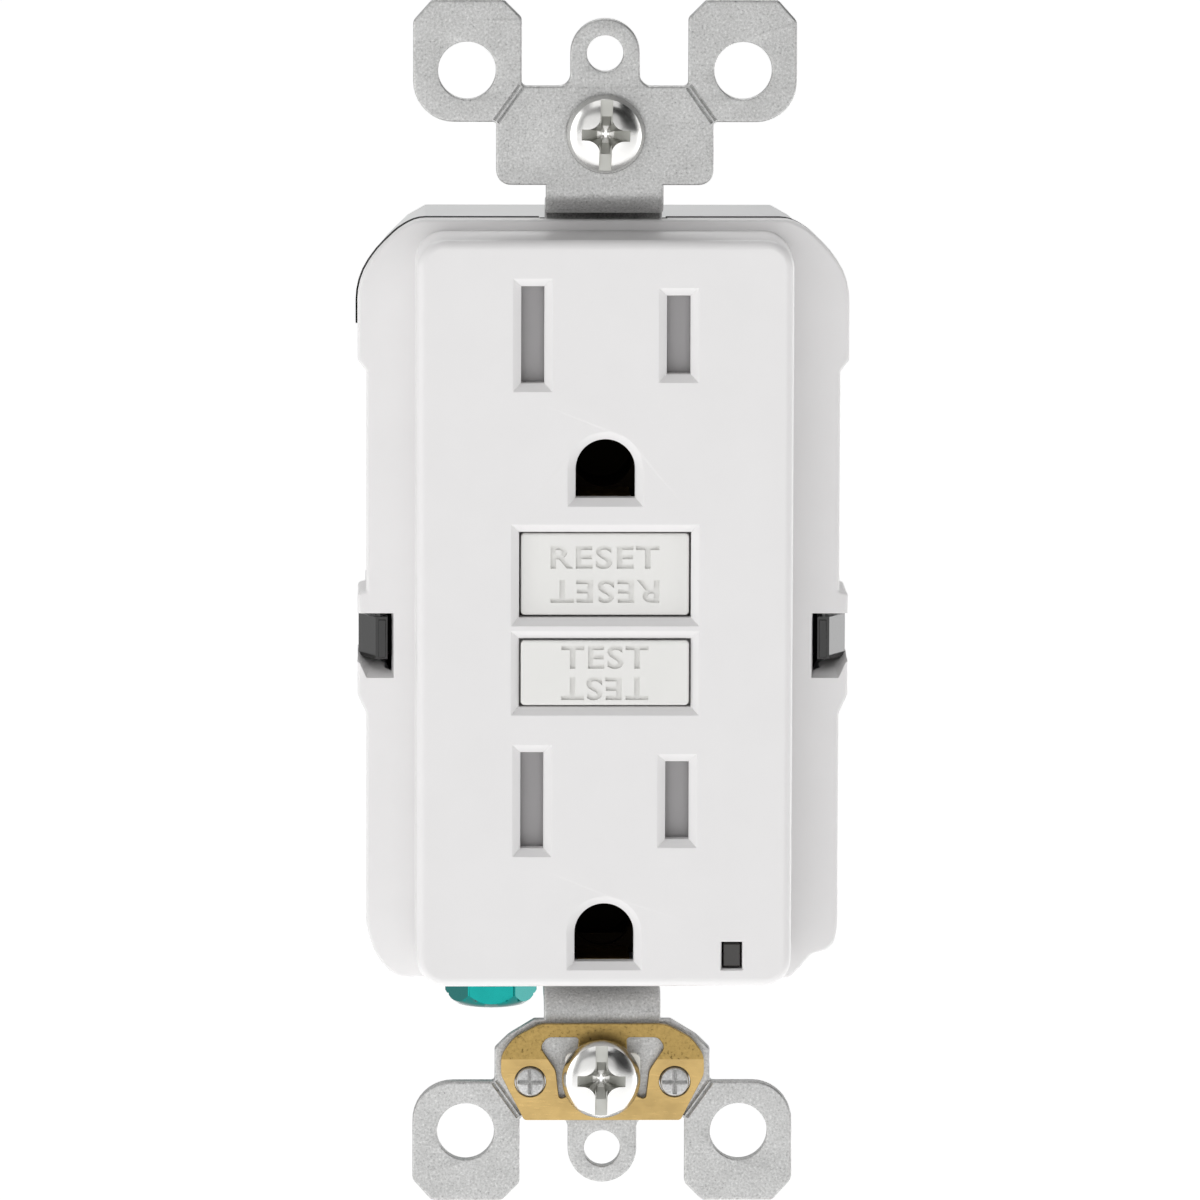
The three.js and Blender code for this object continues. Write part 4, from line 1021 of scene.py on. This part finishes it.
def self_ground_clip():
    """A brass sheet, bent forward above a line near its top, where it is painted darker as shade and
    carries dark specks.
    """
    low, high = span("self_ground_clip")
    front, back = low.y + 0.5, high.y
    bend, lean, top = -40.3, 0.5, high.z
    section = [(front, low.z - 0.1), (back, low.z - 0.1), (back, bend), (back - lean, top + 0.1)]
    section += [(front - lean, top + 0.1), (front, bend)]
    sheet = across([Vector(p) for p in section], 9.2, 0.05)
    cutter = prism(clip_outline(low.z), front - 2, back + 2)
    rivet = middle("clip_rivet_right")
    tools = [prism(clip_wing(side), front - 2, back + 2) for side in (-1, 1)]
    tools += [rod(1.36, front - 2, back + 2, side * rivet.x, rivet.z) for side in (-1, 1)]
    tools.append(rod(2.2, front - 2, back + 2, 0, -MOUNTING_SCREW_Z))
    clip = cut(combined(sheet, [cutter], "INTERSECT"), *tools)
    piece = add(clip, "self_ground_clip_sheet", "self_ground_clip")
    # The bent-forward top band gets the darker, specked brass: painted shade.
    refinished(piece, specked_brass_painted_shade, lambda face: face.center.z > (bend + 0.02) * MM)
    soften_first(piece, 0.08)


self_ground_clip()


def clip_rivet(node):
    """A staked end with a small cross pressed into it."""
    low, high = span(node)
    centre = middle(node)
    radius = 1.3
    head = turned(
        [
            (0, low.y), (0.95, low.y), (1.2, low.y + 0.08), (radius, low.y + 0.25),
            (radius, high.y - 0.1), (radius - 0.1, high.y), (0, high.y),
        ]
    )
    marks = []
    for angle in (0, 90):
        groove = block(-1.1, 1.1, -0.16, 0.16, -0.16, 0.16)
        marks.append(placed(groove, shift(y=low.y) @ turn(angle, "Y") @ turn(45, "X")))
    mesh = placed(cut(head, *marks), shift(centre.x, 0, centre.z))
    add(mesh, node + "_stake", node, material=zinc)


for side_name in ("left", "right"):
    clip_rivet("clip_rivet_" + side_name)


# ---------------------------------------------------------------- ground contacts


def ground_contact(node):
    """A plate with a closed sleeve for the plug's ground pin, and a leaf in front of it."""
    low, high = span(node)
    bore, sleeve_radius = 2.6, 3.05
    sheet = plate(rounded_rectangle(4.6, 3.4, 0.8, 0, 0.4), 2.9, 3.7, holes=[circle(0, 0, bore)])
    section = [(bore, 3.2), (bore, 3.1), (3.0, 3.2), (sleeve_radius, 3.3)]
    section += [(sleeve_radius, high.y), (bore, high.y)]
    sleeve = turned(section, hollow=True)
    leaf = block(-2.3, 2.3, low.y, 3.1, -2.95, -2.65, edge=0.08)
    end = rod(2.8, high.y - 0.4, high.y)
    contact = placed(joined(sheet, sleeve, end, leaf), shift(z=low.z + sleeve_radius))
    piece = add(contact, node + "_sleeve", node)
    # Its faces deeper than y = 2.5 mm are painted near-black as shade of the deep, unlit ground hole.
    refinished(piece, painted_shade_black, lambda face: face.center.y > 2.5 * MM)


ground_contact("upper_ground_contact")
ground_contact("lower_ground_contact")


# ---------------------------------------------------------------- screws

PITCH = 0.79
HEAD_STEPS = 10


def cross_outline(reach, half_arm, web):
    """A cross for a driver with four wings, its inner corners filled out by wide arcs."""
    loop = []
    for quarter in range(4):
        swing = Matrix.Rotation(math.pi / 2 * quarter, 2)
        corner = half_arm + web
        wing = [Vector((reach, -half_arm)), Vector((reach, half_arm))]
        wing += arc(corner, corner, web, 270, 180, 10)
        loop += [swing @ p for p in wing]
    return loop


def threaded_shank(radius, root, start, stop, pitch):
    """(radius, y) points of a shank with ring grooves at the thread's pitch."""
    tip = 0.6
    points = [(root, start)]
    y = start + 0.4
    while y + pitch < stop - tip:
        points += [(root, y), (radius, y + 0.35 * pitch), (radius, y + 0.5 * pitch)]
        points.append((root, y + 0.85 * pitch))
        y += pitch
    points += [(radius, stop - tip), (radius - tip, stop), (0, stop)]
    return points


def screw_head(head, rise):
    """(radius, y) points of a low dome that sits on y = 0 and faces -Y."""
    points = []
    rim = 0.22 * rise
    evenness = 0.82
    for k in range(HEAD_STEPS + 1):
        share = k / HEAD_STEPS
        slant = evenness * share + (1 - evenness) * share**3
        y = -rim - (rise - rim) * math.sqrt(max(0.0, 1 - slant**2))
        points.append((head * share, min(y, -rim)))
    return points + [(head, -0.1), (head - 0.08, 0)]


def mounting_screw(node, tilt, hang):
    """Pan head with a full slot and a cross recess in it. It hangs a little low in its slot."""
    low, high = span(node)
    centre = middle(node)
    rise = 1.75
    seat = low.y + rise
    head, shank = high.x, 1.72
    profile = screw_head(head, rise)
    profile += threaded_shank(shank, 1.42, 0, high.y - seat, PITCH)
    blank = turned(profile, 64)
    top = -rise - 0.2
    slot = block(-0.54, 0.54, top, -rise + 0.7, -head - 1, head + 1)
    stations = [
        (cross_outline(2.2, 0.5, 1.2), top),
        (cross_outline(2.15, 0.48, 1.15), -rise + 0.2),
        (cross_outline(1.35, 0.4, 0.6), -rise + 1.0),
        (cross_outline(0.75, 0.3, 0.2), -0.1),
        (cross_outline(0.3, 0.1, 0.1), 0.3),
    ]
    mesh = cut(blank, slot, lofted(stations))
    dome = dict(profile[: HEAD_STEPS + 1])
    radii = sorted(dome)
    recessed = []
    for face in mesh.polygons:
        place = face.center
        radius = math.hypot(place.x, place.z)
        above = min((r for r in radii if r >= radius), default=head)
        recessed.append(radius < 0.97 * head and dome[above] + 0.06 < place.y < 0)
    mesh.transform(shift(centre.x + hang[0], seat, centre.z + hang[1]) @ turn(tilt, "Y"))
    piece = add(mesh, node + "_body", node, smooth=28)
    # The faces in the slot and cross recess get the darker nickel: painted shade in the recesses.
    piece.data.materials.append(nickel_painted_shade)
    for face, below in zip(piece.data.polygons, recessed):
        face.material_index = int(below)
    soften_first(piece, 0.05)


mounting_screw("upper_mounting_screw", tilt=1.5, hang=(0.05, -0.28))
mounting_screw("lower_mounting_screw", tilt=0.5, hang=(-0.15, -0.1))


def screw_retainer(node, corners):
    """A thin washer that keeps a screw captive: square, or round below its two upper corners."""
    low, high = span(node)
    centre = middle(node)
    half = high.x - 0.1
    corner_height = 2.1
    if corners == 4:
        outline = rounded_rectangle(half, half, 0.7)
    else:
        lugs = [(half, corner_height, 0.6), (-half, corner_height, 0.6)]
        round_part = arc(0, 0, half, 180, 360, 24)
        outline = filleted(lugs + [(p.x, p.y, 0) for p in round_part])
    outline = moved(outline, 0, centre.z)
    washer = plate(outline, low.y, high.y, edge=0.08, holes=[circle(0, centre.z, 2.0)])
    add(washer, node + "_washer", node)


screw_retainer("upper_screw_retainer", 4)
screw_retainer("lower_screw_retainer", 2)


def slotted_screw(node, axis, head, rise, shank, root, pitch, angle):
    """A slotted screw that points along an axis. Its head is at the far end of that axis."""
    low, high = span(node)
    centre = middle(node)
    size = high - low
    length = size.y if axis == "+Y" else size.x
    profile = screw_head(head, rise) + threaded_shank(shank, root, 0, length - rise, pitch)
    blank = turned(profile, 48)
    slot = block(-0.55, 0.55, -rise - 1, -0.38 * rise, -head - 1, head + 1)
    mesh = placed(cut(blank, slot), turn(angle, "Y"))
    if axis == "+X":
        mesh.transform(shift(high.x - rise, centre.y, centre.z) @ turn(90, "Z"))
    elif axis == "-X":
        mesh.transform(shift(low.x + rise, centre.y, centre.z) @ turn(-90, "Z"))
    else:
        mesh.transform(shift(centre.x, high.y - rise, centre.z) @ turn(180, "Z"))
    piece = add(mesh, node + "_body", node)
    soften_first(piece, 0.05)


for level in ("load", "line"):
    for pole, axis, angle in (("hot", "+X", 20), ("neutral", "-X", -35)):
        node = f"{level}_{pole}_terminal_screw"
        slotted_screw(node, axis, head=3.9, rise=1.1, shank=1.95, root=1.6, pitch=PITCH, angle=angle)

for number in range(1, 5):
    node = f"assembly_screw_{number}"
    angle = 25.0 * number
    slotted_screw(node, "+Y", head=2.3, rise=1.7, shank=1.15, root=0.9, pitch=0.8, angle=angle)


def ground_screw():
    """Hexagonal washer head with a rounded end, under the body."""
    low, high = span("ground_screw")
    centre = middle("ground_screw")
    head_top = -34.5
    radius = 4.1
    profile = [(0, low.z), (2.5, low.z), (3.05, low.z + 0.12), (3.6, low.z + 0.5)]
    profile += [(radius, low.z + 1.25), (radius, head_top), (0, head_top)]
    dome = turned(profile, 64)
    corners = arc(0, 0, radius + 0.02, 0, 360, 6)[:-1]
    hexagon = prism(filleted([(p.x, p.y, 0.25) for p in corners]), low.z - 1, head_top - 0.35)
    head = combined(dome, [hexagon], "INTERSECT")
    rounded_edge = [(3.9, head_top - 0.6), (4.05, head_top - 0.3), (4.0, head_top)]
    flange = turned([(0, head_top - 0.6), *rounded_edge, (0, head_top)], 64)
    thread = threaded_shank(1.9, 1.6, 0, high.z - head_top, PITCH)
    shank = turned([(0, head_top - 0.2)] + [(r, head_top + y) for r, y in thread], 32)
    slot = block(-6, 6, low.z - 1, low.z + 1.0, -0.6, 0.6)
    mesh = cut(joined(head, flange, shank), slot)
    mesh.transform(shift(centre.x, centre.y, 0) @ turn(90, "X"))
    piece = add(mesh, "ground_screw_body", "ground_screw")
    soften_first(piece, 0.12, 3)


ground_screw()


# ---------------------------------------------------------------- springs


def coil(radius, wire, length, turns):
    """A wire wound round the Y axis, from y = 0 to the length."""
    build = bmesh.new()
    per_turn, around = 28, 10
    steps = turns * per_turn
    rise = (length - 2 * wire) / steps
    rings = []
    for step in range(steps + 1):
        angle = 2 * math.pi * step / per_turn
        out = Vector((math.cos(angle), 0, math.sin(angle)))
        along = Vector((-math.sin(angle), rise * per_turn / (2 * math.pi * radius), math.cos(angle)))
        side = along.normalized().cross(out)
        place = out * radius + Vector((0, wire + rise * step, 0))
        angles = [2 * math.pi * k / around for k in range(around)]
        section = [place + wire * (out * math.cos(a) + side * math.sin(a)) for a in angles]
        rings.append([build.verts.new(point) for point in section])
    for near, far in zip(rings, rings[1:]):
        for k in range(around):
            build.faces.new((near[k - 1], near[k], far[k], far[k - 1]))
    build.faces.new(rings[0])
    build.faces.new(rings[-1][::-1])
    return closed(build)


SPRING_TURNS = {0: turn(-90, "Z"), 1: Matrix.Identity(4), 2: turn(90, "X")}


def coil_spring(node, axis, wire, turns, fixed_high=True):
    """A spring along an axis (0 to 2), wound over its CAD node's whole length."""
    low, high = span(node)
    length = high[axis] - low[axis]
    diameter = min(high[k] - low[k] for k in range(3) if k != axis)
    made = coil(diameter / 2 - wire, wire, length, turns)
    start = middle(node)
    start[axis] = low[axis]
    made.transform(shift(*start) @ SPRING_TURNS[axis])
    piece = add(made, node + "_coil", node)
    fixed = middle(node)
    fixed[axis] = high[axis] if fixed_high else low[axis]
    direction = Vector((0, 0, 0))
    direction[axis] = 1
    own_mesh(piece)


coil_spring("reset_spring", 1, wire=0.25, turns=4)
coil_spring("test_spring", 1, wire=0.25, turns=5)
for level in ("upper", "lower"):
    coil_spring(level + "_shutter_spring", 0, wire=0.17, turns=5)
coil_spring(
    "plunger_spring", 2, wire=0.16, turns=3, fixed_high=False
)


# ---------------------------------------------------------------- camera, floor and light

AIM = Vector((-0.32, -1.3, 0.4)) * MM
CAMERA_AZIMUTH = -1.3
CAMERA_ELEVATION = 7.3
CAMERA_ROLL = 0.17
CAMERA_DISTANCE = 0.92
FRAME_WIDTH = 0.10528
SENSOR = 36.0


def camera():
    azimuth, elevation = math.radians(CAMERA_AZIMUTH), math.radians(CAMERA_ELEVATION)
    level = math.cos(elevation)
    back = Vector((math.sin(azimuth) * level, -math.cos(azimuth) * level, math.sin(elevation)))
    data = bpy.data.cameras.new("camera")
    data.sensor_width = SENSOR
    data.lens = SENSOR * CAMERA_DISTANCE / FRAME_WIDTH
    data.clip_start = 0.05
    data.clip_end = 20
    made = bpy.data.objects.new("camera", data)
    made.location = AIM + back * CAMERA_DISTANCE
    roll = Matrix.Rotation(math.radians(CAMERA_ROLL), 3, "Z")
    facing = (-back).to_track_quat("-Z", "Y").to_matrix() @ roll
    made.rotation_euler = facing.to_euler()
    bpy.context.scene.collection.objects.link(made)
    bpy.context.scene.camera = made


FLOOR_REACH = 60.0
FLOOR_DROP = 0.45
FLOOR_GLOW = 0.74


def floor():
    """A pale floor that glows a little, so that it stays white behind the object."""
    build = bmesh.new()
    bmesh.ops.create_grid(build, x_segments=1, y_segments=1, size=FLOOR_REACH)
    build.transform(shift(z=-FLOOR_DROP))
    mesh = bpy.data.meshes.new("floor")
    build.to_mesh(mesh)
    build.free()
    material, _, _, shader, _ = node_material("pale_floor")
    shader.inputs["Base Color"].default_value = (0.9, 0.9, 0.9, 1)
    shader.inputs["Roughness"].default_value = 0.9
    shader.inputs["Emission Color"].default_value = (1, 1, 1, 1)
    shader.inputs["Emission Strength"].default_value = FLOOR_GLOW
    mesh.materials.append(material)
    made = bpy.data.objects.new("floor", mesh)
    bpy.context.scene.collection.objects.link(made)


SOFTBOXES = {  # place, width and height in metres, and radiance
    "front_softbox": ((-0.2, -1.7, 0.1), 1.5, 1.3, 0.56),
    "upper_front_softbox": ((0.0, -0.6, 1.05), 1.0, 0.6, 0.9),
    "left_softbox": ((-1.1, -0.6, 0.25), 0.5, 1.2, 1.6),
    "right_softbox": ((1.15, -0.45, 0.1), 0.3, 1.2, 1.5),
    "right_rear_softbox": ((1.1, 0.75, -0.1), 0.7, 0.9, 1.8),
    "top_softbox": ((0.0, 0.7, 1.0), 1.2, 0.8, 2.0),
}


def softbox(name, place, width, height, radiance):
    """An area light that faces the object. Its power follows from its size and radiance."""
    data = bpy.data.lights.new(name, "AREA")
    data.shape = "RECTANGLE"
    data.size = width
    data.size_y = height
    data.energy = radiance * width * height * math.pi
    made = bpy.data.objects.new(name, data)
    made.location = place
    made.rotation_euler = Vector(place).to_track_quat("Z", "Y").to_euler()
    bpy.context.scene.collection.objects.link(made)


def studio():
    """Soft light all round in a grey world that is darker towards the upper front right."""
    world = bpy.data.worlds.new("studio")
    bpy.context.scene.world = world
    world.use_nodes = True
    nodes, links = world.node_tree.nodes, world.node_tree.links
    direction = nodes.new("ShaderNodeTexCoord").outputs["Generated"]
    fade = nodes.new("ShaderNodeVectorMath")
    fade.operation = "DOT_PRODUCT"
    fade.inputs[1].default_value = (0.62, -0.5, 0.6)
    links.new(direction, fade.inputs[0])
    stops = [(0.0, (0.5, 0.5, 0.5)), (0.55, (0.36, 0.36, 0.36)), (0.85, (0.02, 0.02, 0.02))]
    tone = ramp(nodes, links, fade.outputs["Value"], stops)
    links.new(tone, nodes["Background"].inputs["Color"])
    for name, row in SOFTBOXES.items():
        softbox(name, *row)
    bpy.context.scene.view_settings.view_transform = "Standard"


camera()
floor()
studio()


# ---------------------------------------------------------------- CAD nodes that stay


def finished(node):
    """A CAD node that keeps its shape gets its finish, welded corners and softened edges."""
    piece = frame["nodes"][node]
    piece.data.materials.clear()
    piece.data.materials.append(SLOT_MATERIALS[node_slots[node]])
    weld = piece.modifiers.new("weld", "WELD")
    weld.merge_threshold = 1e-6
    soften(piece, 0.1)


for node, piece in frame["nodes"].items():
    if not piece.hide_render:
        finished(node)
